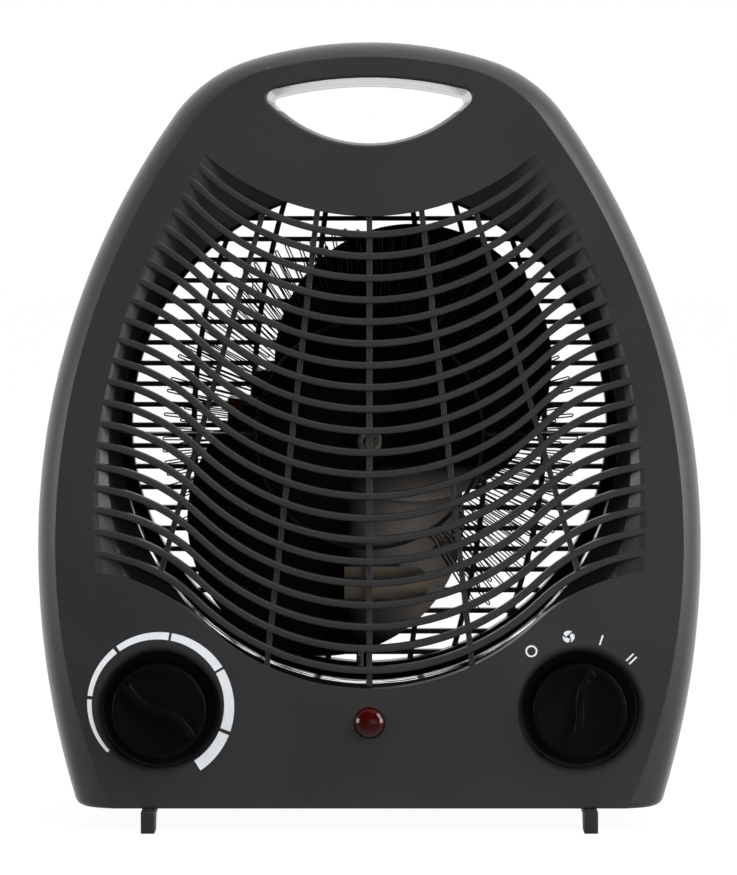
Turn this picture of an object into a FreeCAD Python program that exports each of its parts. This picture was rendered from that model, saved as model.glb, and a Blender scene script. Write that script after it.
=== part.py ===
import FreeCAD, Part
import math
import os

import Sketcher
from FreeCAD import Placement, Rotation, Vector

doc = FreeCAD.newDocument("fan_heater")
sheet = doc.addObject("Spreadsheet::Sheet", "Sizes")

# Sizes in millimetres, angles in degrees. X is to the right, the front faces minus Y, Z is up from the floor.
SIZES = [
    # Case outline at the parting plane
    ("case_width", 211.8),
    ("case_height", 250.4),
    ("ground_gap", 7.0),
    ("front_depth", 50.0),
    ("rear_depth", 54.0),
    ("parting_gap", 0.2),
    ("wall", 2.5),
    ("side_upper_radius", 239.0),
    ("side_lower_radius", 282.0),
    ("widest_height", 89.4),
    ("top_radius", 130.6),
    ("shoulder_radius", 46.6),
    ("corner_radius", 3.2),
    ("least_round", 0.8),
    # Front face outline and its gentle crown
    ("face_width", 199.0),
    ("face_height", 245.3),
    ("face_widest_height", 91.0),
    ("face_upper_radius", 226.0),
    ("face_lower_radius", 210.0),
    ("crease_round", 0.5),
    ("face_top_radius", 130.0),
    ("face_shoulder_radius", 40.0),
    ("crown_radius", 1500.0),
    ("crown_height", 75.0),
    ("surface_slack", 0.05),
    # Rear face outline
    ("back_width", 188.0),
    ("back_height", 224.0),
    ("back_upper_radius", 200.0),
    ("back_lower_radius", 282.0),
    ("back_top_radius", 120.0),
    ("back_shoulder_radius", 34.0),
    ("back_corner_radius", 5.0),
    ("back_round", 3.5),
    ("cavity_step", 0.9),
    ("back_roll_depth_share", 0.62),
    ("back_roll_inset_share", 0.27),
    ("roll_past", 4.5),
    # Arched scoop along the foot of the front
    ("arch_rise", 5.3),
    ("arch_radius", 215.0),
    ("arch_slope", 28.0),
    # Air path
    ("air_radius", 79.0),
    ("air_height", 125.0),
    ("scoop_depth", 11.0),
    ("scoop_width", 178.0),
    ("scoop_upper_radius", 244.0),
    ("scoop_lower_radius", 206.0),
    ("scoop_shoulder_radius", 10.0),
    ("scoop_margin", 7.0),
    ("scoop_lead", 0.4),
    ("shoulder_sink", 0.5),
    ("shoulder_share", 0.25),
    ("slope_sink", 2.6),
    ("slope_share", 0.55),
    # Front grille of S-shaped slats
    ("slat_pitch", 6.9),
    ("slat_thickness", 2.2),
    ("slat_depth", 5.5),
    ("slat_round", 0.5),
    ("visor_cover", 15.0),
    ("sag_radius", 78.0),
    ("turn_radius", 57.0),
    ("turn_offset", 54.0),
    ("slat_end_angle", 10.0),
    ("bar_width", 1.8),
    ("bar_setback", 1.4),
    ("bar_depth", 5.0),
    ("inner_bar_top", 15.7),
    ("inner_bar_foot", 33.3),
    ("outer_bar_top", 31.4),
    ("outer_bar_foot", 76.5),
    # Rear grille of straight slats and bowed ribs
    ("back_slat_thickness", 1.6),
    ("back_slat_depth", 4.5),
    ("back_rib_width", 1.8),
    ("back_rib_step", 19.5),
    ("back_rib_bow_share", 0.31),
    ("motor_disc_radius", 24.0),
    # Carrying handle
    ("grip_bar", 11.2),
    ("grip_half_width", 35.0),
    ("grip_drop", 22.4),
    ("grip_top_radius", 125.0),
    ("grip_foot_radius", 45.0),
    ("grip_corner_radius", 3.2),
    ("grip_draft", 1.6),
    ("grip_round", 0.8),
    # Control recesses
    ("control_spread", 133.2),
    ("control_height", 38.4),
    ("recess_radius", 18.7),
    ("recess_depth", 9.5),
    ("recess_round", 2.2),
    ("shaft_hole_radius", 3.7),
    # Knobs
    ("knob_radius", 15.2),
    ("knob_taper", 0.4),
    ("knob_length", 9.8),
    ("knob_lift", 2.2),
    ("knob_skirt", 1.6),
    ("knob_skirt_depth", 4.4),
    ("knob_rim", 1.5),
    ("knob_dish", 0.6),
    ("knob_boss_radius", 5.2),
    ("knob_bore_depth", 6.4),
    ("ridge_half_length", 13.0),
    ("ridge_bend_radius", 15.7),
    ("ridge_width", 2.3),
    ("ridge_rise", 1.6),
    ("ridge_root", 0.5),
    ("dimple_size", 1.5),
    ("dimple_depth", 0.7),
    ("thermostat_turn", 128.0),
    ("switch_turn", 19.0),
    # Thermostat and rotary switch
    ("control_shaft_radius", 3.0),
    ("control_shaft_bed", 8.0),
    ("shaft_clearance", 0.05),
    ("thermostat_width", 32.0),
    ("thermostat_tall", 24.0),
    ("thermostat_depth", 14.0),
    ("switch_size", 28.0),
    ("switch_depth", 17.0),
    ("switch_cut", 5.0),
    ("control_screw_offset", 9.5),
    ("terminal_width", 4.8),
    ("terminal_thickness", 0.8),
    ("terminal_length", 7.0),
    # Small screws
    ("screw_radius", 1.5),
    ("screw_head_radius", 2.7),
    ("screw_head_height", 1.6),
    ("screw_bite", 6.0),
    ("screw_fit", 0.05),
    ("slot_width", 0.7),
    ("slot_reach_share", 0.75),
    ("slot_depth", 0.8),
    # Case screws and their towers
    ("low_screw_spread", 164.0),
    ("low_screw_height", 60.0),
    ("high_screw_spread", 104.0),
    ("high_screw_height", 203.0),
    ("tower_radius", 5.2),
    ("head_hole_radius", 3.5),
    ("screw_seat", 9.0),
    ("case_screw_reach", 12.0),
    ("shank_hole_radius", 1.9),
    # Heat shield
    ("shield_gap", 0.5),
    ("shield_sheet", 0.6),
    ("shield_rear", 45.0),
    ("shield_end_gap", 0.2),
    ("seat_lip", 3.0),
    ("seat_gap", 0.3),
    ("seat_width", 3.6),
    # Mica frame and heating wires
    ("mica_sheet", 1.0),
    ("hoop_radius", 36.0),
    ("hoop_depth", 8.0),
    ("arm_depth", 12.4),
    ("arm_front", 29.4),
    ("mica_gap", 0.2),
    ("wire_size", 0.5),
    ("front_wire_inner", 41.0),
    ("front_wire_outer", 66.0),
    ("rear_wire_inner", 38.5),
    ("rear_wire_outer", 61.0),
    ("wire_flat", 1.0),
    ("wire_end_angle", 4.0),
    # Thermal cut-out and fuse
    ("tab_inner", 41.0),
    ("tab_outer", 53.0),
    ("tab_front", 37.0),
    ("cutout_width", 9.0),
    ("cutout_depth", 6.4),
    ("strip_sheet", 0.4),
    ("strip_left", 8.0),
    ("strip_right", 19.0),
    ("strip_tall", 10.5),
    ("fuse_radius", 1.8),
    ("fuse_length", 9.0),
    ("fuse_inner", 68.0),
    # Fan
    ("axis_drop", 3.0),
    ("hub_radius", 7.1),
    ("hub_length", 17.0),
    ("hub_front", 8.5),
    ("blade_sheet", 1.0),
    ("blade_radius", 45.0),
    ("blade_offset", 29.0),
    ("blade_lean", 61.0),
    ("blade_pitch", 9.0),
    ("blade_camber_radius", 240.0),
    ("blade_forward", 3.0),
    ("nut_radius", 4.2),
    ("nut_length", 3.0),
    # Motor
    ("motor_shaft_radius", 2.0),
    ("press_gap", 0.02),
    ("run_gap", 0.05),
    ("shaft_front", 12.5),
    ("shaft_rear", 46.0),
    ("stack_front", 20.0),
    ("stack_depth", 18.0),
    ("core_right", 17.0),
    ("core_left", 38.0),
    ("core_half_height", 22.0),
    ("core_bore_radius", 12.4),
    ("rotor_radius", 12.0),
    ("rotor_side_gap", 0.6),
    ("window_left", 27.0),
    ("window_right", 15.6),
    ("window_half_height", 13.6),
    ("bobbin_gap", 0.2),
    ("bobbin_sheet", 1.2),
    ("coil_build", 7.0),
    ("coil_gap", 0.3),
    ("bracket_sheet", 1.5),
    ("bracket_width", 15.0),
    ("bracket_half_height", 21.5),
    ("bracket_boss_radius", 6.0),
    ("bracket_boss_length", 5.0),
    ("bearing_radius", 4.0),
    ("bearing_length", 6.0),
    ("motor_screw_offset", 17.6),
    ("motor_post_radius", 4.0),
    ("motor_screw_bite", 8.0),
    # Indicator
    ("lamp_height", 34.4),
    ("lens_radius", 4.8),
    ("lens_dome", 2.6),
    ("lens_wide_share", 0.87),
    ("lens_low_share", 0.5),
    ("lens_fit", 0.15),
    ("lens_flange", 1.6),
    ("flange_sheet", 1.4),
    ("flange_gap", 0.25),
    ("lens_wall", 1.0),
    ("holder_length", 13.0),
    ("bulb_radius", 2.6),
    ("bulb_length", 8.5),
    # Feet
    ("foot_spread", 140.0),
    ("foot_thickness", 4.4),
    ("foot_length", 116.0),
    ("foot_pad", 13.0),
    ("foot_relief", 4.6),
    ("foot_tab_length", 12.0),
    ("foot_tab_offset", 26.0),
    ("foot_tab_rise", 5.5),
    ("foot_fit", 0.25),
    ("foot_toe", 0.8),
    # Cord gland
    ("gland_offset", 40.0),
    ("gland_height", 17.0),
    ("gland_width", 12.0),
    ("gland_top", 6.5),
    ("gland_flange", 2.0),
    ("gland_flange_sheet", 1.8),
    ("gland_fit", 0.15),
    ("gland_bore_radius", 3.5),
    ("gland_nose_radius", 5.2),
    ("gland_nose_length", 2.0),
    # Length by which cutting tools run past the surface they cut
    ("overrun", 3.0),
]
SLAT_COUNT = 21
ZIGZAG_COUNT = 46
ARM_COUNT = 4
BLADE_COUNT = 2
RIBS_EACH_SIDE = 3
ROLL_STEPS = 8
ROLL_CROWDING = 1.4
ROLL_POWER = 10

for row, (name, number) in enumerate(SIZES, start=1):
    sheet.set("A%d" % row, name)
    sheet.set("B%d" % row, str(number))
    sheet.setAlias("B%d" % row, name)
doc.recompute()


class Length:
    """A sheet value or a sum of sheet values, with the expression that gives it."""

    def __init__(self, number, text):
        self.number = float(number)
        self.text = text

    def __float__(self):
        return self.number

    def __add__(self, other):
        other = lift(other)
        return Length(self.number + other.number, "(%s + %s)" % (self.text, other.text))

    def __radd__(self, other):
        return lift(other) + self

    def __sub__(self, other):
        other = lift(other)
        return Length(self.number - other.number, "(%s - %s)" % (self.text, other.text))

    def __rsub__(self, other):
        return lift(other) - self

    def __mul__(self, other):
        other = lift(other)
        return Length(self.number * other.number, "(%s * %s)" % (self.text, other.text))

    def __rmul__(self, other):
        return lift(other) * self

    def __truediv__(self, other):
        other = lift(other)
        return Length(self.number / other.number, "(%s / %s)" % (self.text, other.text))

    def __neg__(self):
        return Length(-self.number, "(0 - %s)" % self.text)


def lift(value):
    """Gives a plain number the same form as a sheet value."""
    if isinstance(value, Length):
        return value
    return Length(value, repr(value))


class Sizes:
    """Reads the sheet by alias."""

    def __getattr__(self, alias):
        return Length(sheet.get(alias), "Sizes." + alias)


size = Sizes()
FORWARD = Rotation(Vector(1, 0, 0), 90)
UPRIGHT = Rotation()
PIECES = {}


# Document helpers

def place(target, x, y, z, rotation):
    """Sets a turn and binds the position of an object to sheet values."""
    target.Placement = Placement(Vector(float(x), float(y), float(z)), rotation)
    for axis, length in zip("xyz", (x, y, z)):
        target.setExpression("Placement.Base." + axis, lift(length).text)


def new_body(label, x, y, z, rotation=FORWARD):
    """Starts a body whose local z points to the front and local y up."""
    body = doc.addObject("PartDesign::Body", label)
    body.Label = label
    place(body, x, y, z, rotation)
    return body


def origin_item(body, role):
    """Finds an origin plane or axis of a body by its role."""
    return next(item for item in body.Origin.OriginFeatures if item.Role == role)


def new_sketch(body, name, level=0, role="XY_Plane"):
    """Adds a sketch on an origin plane of the body, lifted to a level."""
    sketch = body.newObject("Sketcher::SketchObject", name)
    sketch.AttachmentSupport = [(origin_item(body, role), "")]
    sketch.MapMode = "FlatFace"
    sketch.setExpression("AttachmentOffset.Base.z", lift(level).text)
    return sketch


def hold(sketch, kind, item, point, length):
    """Fixes one coordinate of a sketch point to a sheet value."""
    length = lift(length)
    if length.text == "0":
        axis = -2 if kind == "DistanceX" else -1
        sketch.addConstraint(Sketcher.Constraint("PointOnObject", item, point, axis))
        return
    index = sketch.addConstraint(Sketcher.Constraint(kind, -1, 1, item, point, length.number))
    sketch.setExpression("Constraints[%d]" % index, length.text)


def polygon(sketch, corners):
    """Draws a closed outline whose corners are pairs of sheet values."""
    first = sketch.GeometryCount
    count = len(corners)
    points = [Vector(float(x), float(y), 0) for x, y in corners]
    for step in range(count):
        sketch.addGeometry(Part.LineSegment(points[step], points[(step + 1) % count]))
    for step in range(count):
        following = first + (step + 1) % count
        sketch.addConstraint(Sketcher.Constraint("Coincident", first + step, 2, following, 1))
    for step, (x, y) in enumerate(corners):
        hold(sketch, "DistanceX", first + step, 1, x)
        hold(sketch, "DistanceY", first + step, 1, y)


def rectangle(sketch, left, right, low, high):
    """Draws a rectangle from its four sides."""
    polygon(sketch, [(left, low), (right, low), (right, high), (left, high)])


def circle(sketch, radius, x=0, y=0):
    """Draws a circle held by its radius and centre."""
    centre = Vector(float(x), float(y), 0)
    item = sketch.addGeometry(Part.Circle(centre, Vector(0, 0, 1), float(radius)))
    index = sketch.addConstraint(Sketcher.Constraint("Radius", item, float(radius)))
    sketch.setExpression("Constraints[%d]" % index, lift(radius).text)
    hold(sketch, "DistanceX", item, 3, x)
    hold(sketch, "DistanceY", item, 3, y)


def pad(body, sketch, length, name):
    """Raises a sketch along its normal."""
    feature = body.newObject("PartDesign::Pad", name)
    feature.Profile = sketch
    feature.setExpression("Length", lift(length).text)
    doc.recompute()
    return feature


def pocket(body, sketch, length, name):
    """Sinks a sketch against its normal and makes sure that it removed material."""
    before = body.Shape.Volume
    feature = body.newObject("PartDesign::Pocket", name)
    feature.Profile = sketch
    feature.setExpression("Length", lift(length).text)
    doc.recompute()
    if body.Shape.Volume >= before:
        raise RuntimeError("pocket %s removed nothing" % name)
    return feature


def revolve(body, sketch, name):
    """Turns a sketch once about the body's z axis."""
    feature = body.newObject("PartDesign::Revolution", name)
    feature.Profile = sketch
    feature.ReferenceAxis = (origin_item(body, "Z_Axis"), [""])
    feature.Angle = 360
    doc.recompute()
    return feature


def round_edges(body, feature, name, radius, wanted):
    """Rounds those edges of a body's feature that the test picks."""
    names = ["Edge%d" % (step + 1) for step, edge in enumerate(feature.Shape.Edges) if wanted(edge)]
    rounding = body.newObject("PartDesign::Fillet", name)
    rounding.Base = (feature, names)
    rounding.setExpression("Radius", lift(radius).text)
    doc.recompute()
    return rounding


def shape(name, geometry):
    """Keeps a computed shape as a document object."""
    feature = doc.addObject("Part::Feature", name)
    feature.Shape = geometry
    return feature


def cylinder(name, radius, length, x, y, z, rotation=FORWARD):
    """Adds a cylinder whose axis starts at a point and runs along the turned z axis."""
    item = doc.addObject("Part::Cylinder", name)
    item.setExpression("Radius", lift(radius).text)
    item.setExpression("Height", lift(length).text)
    place(item, x, y, z, rotation)
    return item


def box(name, x_range, y_range, z_range):
    """Adds a box from its three ranges of sheet values."""
    item = doc.addObject("Part::Box", name)
    for side, (low, high) in zip(("Length", "Width", "Height"), (x_range, y_range, z_range)):
        item.setExpression(side, (lift(high) - lift(low)).text)
    place(item, x_range[0], y_range[0], z_range[0], UPRIGHT)
    return item


def settle(item):
    """Computes an object and stops the build if it has no valid shape."""
    doc.recompute()
    if "Invalid" in item.State or item.Shape.isNull() or not item.Shape.isValid():
        raise RuntimeError("%s has no valid shape" % item.Name)
    return item


def loft(name, sections, ruled=False):
    """Skins closed sections into a solid."""
    item = doc.addObject("Part::Loft", name)
    item.Sections = [shape("%s_section_%d" % (name, step), wire) for step, wire in enumerate(sections)]
    item.Solid = True
    item.Ruled = ruled
    return settle(item)


def cut(name, base, tool):
    """Takes one object out of another."""
    item = doc.addObject("Part::Cut", name)
    item.Base = base
    item.Tool = tool
    return settle(item)


def fuse(name, items):
    """Joins several objects."""
    item = doc.addObject("Part::MultiFuse", name)
    item.Shapes = items
    return settle(item)


def common(name, items):
    """Keeps what several objects share."""
    item = doc.addObject("Part::MultiCommon", name)
    item.Shapes = items
    return settle(item)


def group(name, items):
    """Holds several solids as one piece."""
    item = doc.addObject("Part::Compound", name)
    item.Links = items
    return settle(item)


def soften(name, base, radius, wanted):
    """Rounds those edges of a solid that the test picks."""
    item = doc.addObject("Part::Fillet", name)
    item.Base = base
    number = float(radius)
    edges = enumerate(base.Shape.Edges, start=1)
    item.Edges = [(step, number, number) for step, edge in edges if wanted(edge)]
    return settle(item)


def keep(label, item):
    """Names a finished piece."""
    item.Label = label
    PIECES[label] = item


# Curves that the case is drawn from

def arc(start, middle, end):
    """Edge through three points."""
    return Part.Arc(start, middle, end).toShape()


def toward(centre, target, distance):
    """Point at a distance from a centre in the direction of a target."""
    direction = target - centre
    direction.normalize()
    return centre + direction * distance


def inner_round(first, first_radius, second, second_radius, radius):
    """Centre of the circle that touches two larger circles from inside, on the right and high side."""
    reach_first = first_radius - radius
    reach_second = second_radius - radius
    span = second - first
    distance = span.Length
    along = (reach_first ** 2 - reach_second ** 2 + distance ** 2) / (2 * distance)
    across = math.sqrt(reach_first ** 2 - along ** 2)
    span.normalize()
    base = first + span * along
    sideways = Vector(span.z, 0, -span.x) * across
    return max((base + sideways, base - sideways), key=lambda point: point.x + point.z)


def mirrored(point):
    """Same point on the other side of the middle plane."""
    return Vector(-point.x, point.y, point.z)


class Outline:
    """Front-view outline of the case: flat foot, two arcs on each side, round shoulders and an arched top."""

    def __init__(self, half_width, widest, upper, lower, top, top_radius, shoulder, corner, foot):
        self.values = [float(value) for value in
                       (half_width, widest, upper, lower, top, top_radius, shoulder, corner, foot)]

    def mixed(self, other, share):
        """Outline part of the way from this one to another."""
        pairs = zip(self.values, other.values)
        return Outline(*[mine + (theirs - mine) * share for mine, theirs in pairs])

    def inset(self, distance):
        """Parallel outline further in."""
        half_width, widest, upper, lower, top, top_radius, shoulder, corner, foot = self.values
        least = float(size.least_round)
        return Outline(half_width - distance, widest, upper - distance, lower - distance, top - distance,
                       top_radius - distance, max(shoulder - distance, least), max(corner - distance, least),
                       foot + distance)

    def points(self):
        """Corner and middle points of the right side, from the foot to the top."""
        half_width, widest, upper, lower, top, top_radius, shoulder, corner, foot = self.values
        upper_centre = Vector(half_width - upper, 0, widest)
        lower_centre = Vector(half_width - lower, 0, widest)
        top_centre = Vector(0, 0, top - top_radius)
        rise = foot + corner - widest
        corner_centre = Vector(lower_centre.x + math.sqrt((lower - corner) ** 2 - rise ** 2), 0, foot + corner)
        shoulder_centre = inner_round(upper_centre, upper, top_centre, top_radius, shoulder)
        foot_end = Vector(corner_centre.x, 0, foot)
        side_low = toward(lower_centre, corner_centre, lower)
        side_high = toward(upper_centre, shoulder_centre, upper)
        top_end = toward(top_centre, shoulder_centre, top_radius)
        widest_point = Vector(half_width, 0, widest)
        marks = [
            foot_end,
            toward(corner_centre, (foot_end + side_low) * 0.5, corner),
            side_low,
            toward(lower_centre, (side_low + widest_point) * 0.5, lower),
            widest_point,
            toward(upper_centre, (side_high + widest_point) * 0.5, upper),
            side_high,
            toward(shoulder_centre, (side_high + top_end) * 0.5, shoulder),
            top_end,
        ]
        return marks, Vector(0, 0, top)

    def ring(self):
        """Points all the way round in turn: an end of an arc, then its middle."""
        marks, crest = self.points()
        mirrored_marks = [mirrored(point) for point in reversed(marks)]
        foot_middle = (marks[0] + mirrored_marks[-1]) * 0.5
        return marks + [crest] + mirrored_marks + [foot_middle]

    def wire(self, depth):
        """Closed wire of the outline at one depth."""
        shift = Vector(0, float(depth), 0)
        points = [point + shift for point in self.ring()]
        edges = []
        for step in range(0, len(points) - 2, 2):
            edges.append(arc(points[step], points[step + 1], points[step + 2]))
        edges.append(Part.LineSegment(points[-2], points[0]).toShape())
        return Part.Wire(edges)


def air_ring(outline, radius, depth):
    """Circle of the air path, split where the corners of an outline lie."""
    centre = Vector(0, 0, float(size.air_height))
    corners = outline.ring()[::2]
    angles = [math.atan2(point.z - centre.z, point.x) for point in corners]
    edges = []
    for start, end in zip(angles, angles[1:] + angles[:1]):
        while end <= start:
            end += 2 * math.pi
        points = []
        for angle in (start, (start + end) / 2, end):
            points.append(Vector(float(radius) * math.cos(angle), float(depth),
                                 centre.z + float(radius) * math.sin(angle)))
        edges.append(arc(*points))
    return Part.Wire(edges)


def crowned(height):
    """Depth of the crowned front face at a height."""
    radius = float(size.crown_radius)
    return radius - float(size.front_depth) - math.sqrt(radius ** 2 - (height - float(size.crown_height)) ** 2)


def closed_wire(points, curved_foot):
    """Closed wire through points that are by turns an end and the middle of an arc."""
    points = points + points[:1]
    edges = [arc(*points[step:step + 3]) for step in range(0, len(points) - 3, 2)]
    if curved_foot:
        edges.append(arc(*points[-3:]))
    else:
        edges.append(Part.LineSegment(points[-3], points[-1]).toShape())
    return Part.Wire(edges)


def scoop_ring(outline, radius, share, sink):
    """Ring part of the way from an outline to the air circle, sunk below the crowned face."""
    middle = float(size.air_height)
    ring = outline.ring()
    corners = [math.atan2(point.z - middle, point.x) for point in ring[::2]]
    angles = []
    for start, end in zip(corners, corners[1:] + corners[:1]):
        while end <= start:
            end += 2 * math.pi
        angles += [start, (start + end) / 2]
    points = []
    for point, angle in zip(ring, angles):
        target = Vector(float(radius) * math.cos(angle), 0, middle + float(radius) * math.sin(angle))
        mixed = point + (target - point) * float(share)
        points.append(Vector(mixed.x, crowned(mixed.z) + float(sink), mixed.z))
    return closed_wire(points, float(share) > 0)


def rolled_ring(outline, share):
    """Wire of an outline, set part of the way from the parting plane to the crowned face."""
    points = [Vector(point.x, crowned(point.z) * float(share), point.z) for point in outline.ring()]
    return closed_wire(points, False)


def grip_wire(inset, depth):
    """Crescent outline of the handle opening, inset by a distance, at one depth."""
    inset = float(inset)
    top = float(size.case_height - size.grip_bar)
    top_centre = Vector(0, 0, top - float(size.grip_top_radius))
    foot_centre = Vector(0, 0, top - float(size.grip_drop) + float(size.grip_foot_radius))
    top_radius = float(size.grip_top_radius) - inset
    foot_radius = float(size.grip_foot_radius) - inset
    corner = float(size.grip_corner_radius) - inset
    corner_centre = inner_round(top_centre, top_radius, foot_centre, foot_radius, corner)
    high = toward(top_centre, corner_centre, top_radius)
    low = toward(foot_centre, corner_centre, foot_radius)
    side = corner_centre + Vector(corner, 0, 0)
    crest = top_centre + Vector(0, 0, top_radius)
    trough = foot_centre - Vector(0, 0, foot_radius)
    ring = [low, side, high, crest, mirrored(high), mirrored(side), mirrored(low), trough, low]
    ring = [point + Vector(0, float(depth), 0) for point in ring]
    return Part.Wire([arc(*ring[step:step + 3]) for step in (0, 2, 4, 6)])


def slat_line(height, shift, depth):
    """Edges of an S-shaped slat line from left to right, moved up by a shift along its own normal."""
    sag = float(size.sag_radius) - shift
    turn = float(size.turn_radius) + shift
    lean = math.asin(float(size.turn_offset) / float(size.sag_radius))
    end_lean = math.radians(float(size.slat_end_angle))
    middle_lean = (lean + end_lean) / 2
    reach = float(size.sag_radius + size.turn_radius)
    sag_centre = Vector(0, depth, height + float(size.sag_radius))
    turn_centre = sag_centre + Vector(reach * math.sin(lean), 0, -reach * math.cos(lean))
    lowest = sag_centre - Vector(0, 0, sag)
    joint = sag_centre + Vector(sag * math.sin(lean), 0, -sag * math.cos(lean))
    middle = turn_centre + Vector(-turn * math.sin(middle_lean), 0, turn * math.cos(middle_lean))
    end = turn_centre + Vector(-turn * math.sin(end_lean), 0, turn * math.cos(end_lean))
    run = float(size.case_width) / 2 - end.x
    tail = end + Vector(run, 0, run * math.tan(end_lean))
    left = [mirrored(point) for point in (tail, end, middle, joint)]
    return [
        Part.LineSegment(left[0], left[1]).toShape(),
        arc(left[1], left[2], left[3]),
        arc(left[3], lowest, joint),
        arc(joint, middle, end),
        Part.LineSegment(end, tail).toShape(),
    ]


def band(low_height, low_shift, high_height, high_shift, front, depth):
    """Solid between two slat lines."""
    low = slat_line(float(low_height), float(low_shift), float(front))
    high = slat_line(float(high_height), float(high_shift), float(front))
    right = Part.LineSegment(low[-1].Vertexes[-1].Point, high[-1].Vertexes[-1].Point).toShape()
    left = Part.LineSegment(high[0].Vertexes[0].Point, low[0].Vertexes[0].Point).toShape()
    wire = Part.Wire(low + [right] + list(reversed(high)) + [left])
    return Part.Face(wire).extrude(Vector(0, float(depth), 0))


def slab(corners, front, depth):
    """Solid from front-view corners, between two depths."""
    points = [Vector(float(x), float(front), float(z)) for x, z in corners]
    return Part.Face(Part.makePolygon(points + points[:1])).extrude(Vector(0, float(depth), 0))


case = Outline(size.case_width / 2, size.widest_height, size.side_upper_radius, size.side_lower_radius,
               size.case_height, size.top_radius, size.shoulder_radius, size.corner_radius, size.ground_gap)
face = Outline(size.face_width / 2, size.face_widest_height, size.face_upper_radius, size.face_lower_radius,
               size.face_height, size.face_top_radius, size.face_shoulder_radius, size.corner_radius,
               size.ground_gap)
back = Outline(size.back_width / 2, size.face_widest_height, size.back_upper_radius, size.back_lower_radius,
               size.back_height, size.back_top_radius, size.back_shoulder_radius, size.back_corner_radius,
               size.ground_gap)
face_y = -size.front_depth
floor_y = face_y + size.recess_depth
air_y = face_y + size.scoop_depth
axis_z = size.air_height - size.axis_drop
control_x = {"thermostat": -size.control_spread / 2, "switch": size.control_spread / 2}
SCREWS = [
    (-size.low_screw_spread / 2, size.low_screw_height),
    (size.low_screw_spread / 2, size.low_screw_height),
    (-size.high_screw_spread / 2, size.high_screw_height),
    (size.high_screw_spread / 2, size.high_screw_height),
]
FEET = {"left_foot": -size.foot_spread / 2, "right_foot": size.foot_spread / 2}


def rear_roll(name, end, end_depth, inset):
    """Rolled solid from the parting outline back to an end outline."""
    middle = case.mixed(end, float(size.back_roll_inset_share))
    middle_depth = end_depth * size.back_roll_depth_share
    wires = []
    for outline, depth in ((case, size.parting_gap), (middle, middle_depth), (end, end_depth)):
        wires.append(outline.inset(float(inset)).wire(depth))
    return loft(name, wires)


def front_roll(name, inset):
    """Rolled solid from the parting outline to a little past the front face."""
    inset = float(inset)
    wires = [case.inset(inset).wire(0)]
    for step in range(1, ROLL_STEPS + 1):
        depth_share = 1 - (1 - step / ROLL_STEPS) ** ROLL_CROWDING
        wires.append(rolled_ring(case.mixed(face, depth_share ** ROLL_POWER).inset(inset), depth_share))
    wires.append(face.inset(inset + float(size.roll_past)).wire(face_y - size.overrun))
    return loft(name, wires)


def crown(name, inset):
    """Large cylinder across the front whose skin is the crowned face."""
    return cylinder(name, size.crown_radius - inset, size.case_width + size.overrun * 2,
                    -size.case_width / 2 - size.overrun, face_y + size.crown_radius, size.crown_height,
                    Rotation(Vector(0, 1, 0), 90))


def on_front(edge):
    """True for edges that lie in the crowned face."""
    for point in edge.discretize(5):
        reach = math.hypot(point.y - float(face_y + size.crown_radius), point.z - float(size.crown_height))
        if abs(reach - float(size.crown_radius)) > float(size.surface_slack):
            return False
    return True


# Front shell with its moulded grille

first_slat = size.air_height + size.air_radius - size.visor_cover
visor_line = first_slat + size.slat_pitch
lip_line = first_slat - size.slat_pitch * SLAT_COUNT
half_slat = size.slat_thickness / 2
ahead = face_y - size.overrun
grille_band = shape("grille_band", band(lip_line, half_slat, visor_line, -half_slat, ahead,
                                        size.front_depth + size.overrun))
lip_band = shape("lip_band", band(lip_line, half_slat - size.wall, visor_line, size.wall - half_slat, ahead,
                                  size.front_depth + size.overrun))
scoop_rim = Outline(size.scoop_width / 2, size.face_widest_height, size.scoop_upper_radius, size.scoop_lower_radius,
                    size.face_height - size.scoop_margin, size.face_top_radius - size.scoop_margin,
                    size.scoop_shoulder_radius, size.least_round, size.ground_gap + size.scoop_margin)
scoop_back = scoop_rim.inset(-float(size.wall))


def scoop_form(name, outline, radius, sink):
    """Soft-shouldered funnel from an outline on the face down to the air circle."""
    return loft(name, [outline.wire(ahead), scoop_ring(outline, radius, 0, sink - size.scoop_lead),
                       scoop_ring(outline, radius, size.shoulder_share, sink + size.shoulder_sink),
                       scoop_ring(outline, radius, size.slope_share, sink + size.slope_sink),
                       air_ring(outline, radius, air_y)], True)


scoop_loft = scoop_form("scoop_loft", scoop_rim, size.air_radius, 0)
funnel_loft = scoop_form("funnel_loft", scoop_back, size.air_radius + size.wall, size.wall)
scoop = common("scoop", [scoop_loft, grille_band])
funnel = common("funnel", [funnel_loft, lip_band])
air_core = cylinder("air_core", size.air_radius, size.front_depth, 0, 0, size.air_height)
air_cut = common("air_cut", [air_core, grille_band])

front_loft = front_roll("front_loft", 0)
front_crown = crown("front_crown", 0)
front_block = common("front_block", [front_loft, front_crown])
front_cavity_loft = front_roll("front_cavity_loft", size.wall)
inner_crown = crown("inner_crown", size.wall)
front_cavity = common("front_cavity", [front_cavity_loft, inner_crown])

grip_cut = loft("grip_cut", [grip_wire(0, ahead), grip_wire(size.grip_draft, size.parting_gap / 2)], True)
grip_tube = loft("grip_tube", [grip_wire(-size.wall, ahead),
                               grip_wire(size.grip_draft - size.wall, size.parting_gap / 2)], True)
recesses = []
cups = []
for control, x in control_x.items():
    recesses.append(cylinder("%s_recess" % control, size.recess_radius, size.recess_depth + size.overrun,
                             x, floor_y, size.control_height))
    cups.append(cylinder("%s_cup" % control, size.recess_radius + size.wall, size.recess_depth + size.wall,
                         x, floor_y + size.wall, size.control_height))
arch_turn = Rotation(Vector(1, 0, 0), -90 - float(size.arch_slope))
arch_z = size.ground_gap + size.arch_rise
arch_reach = size.overrun * 4
arch_cos = math.cos(math.radians(float(size.arch_slope)))
arch_tan = math.tan(math.radians(float(size.arch_slope)))


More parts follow.
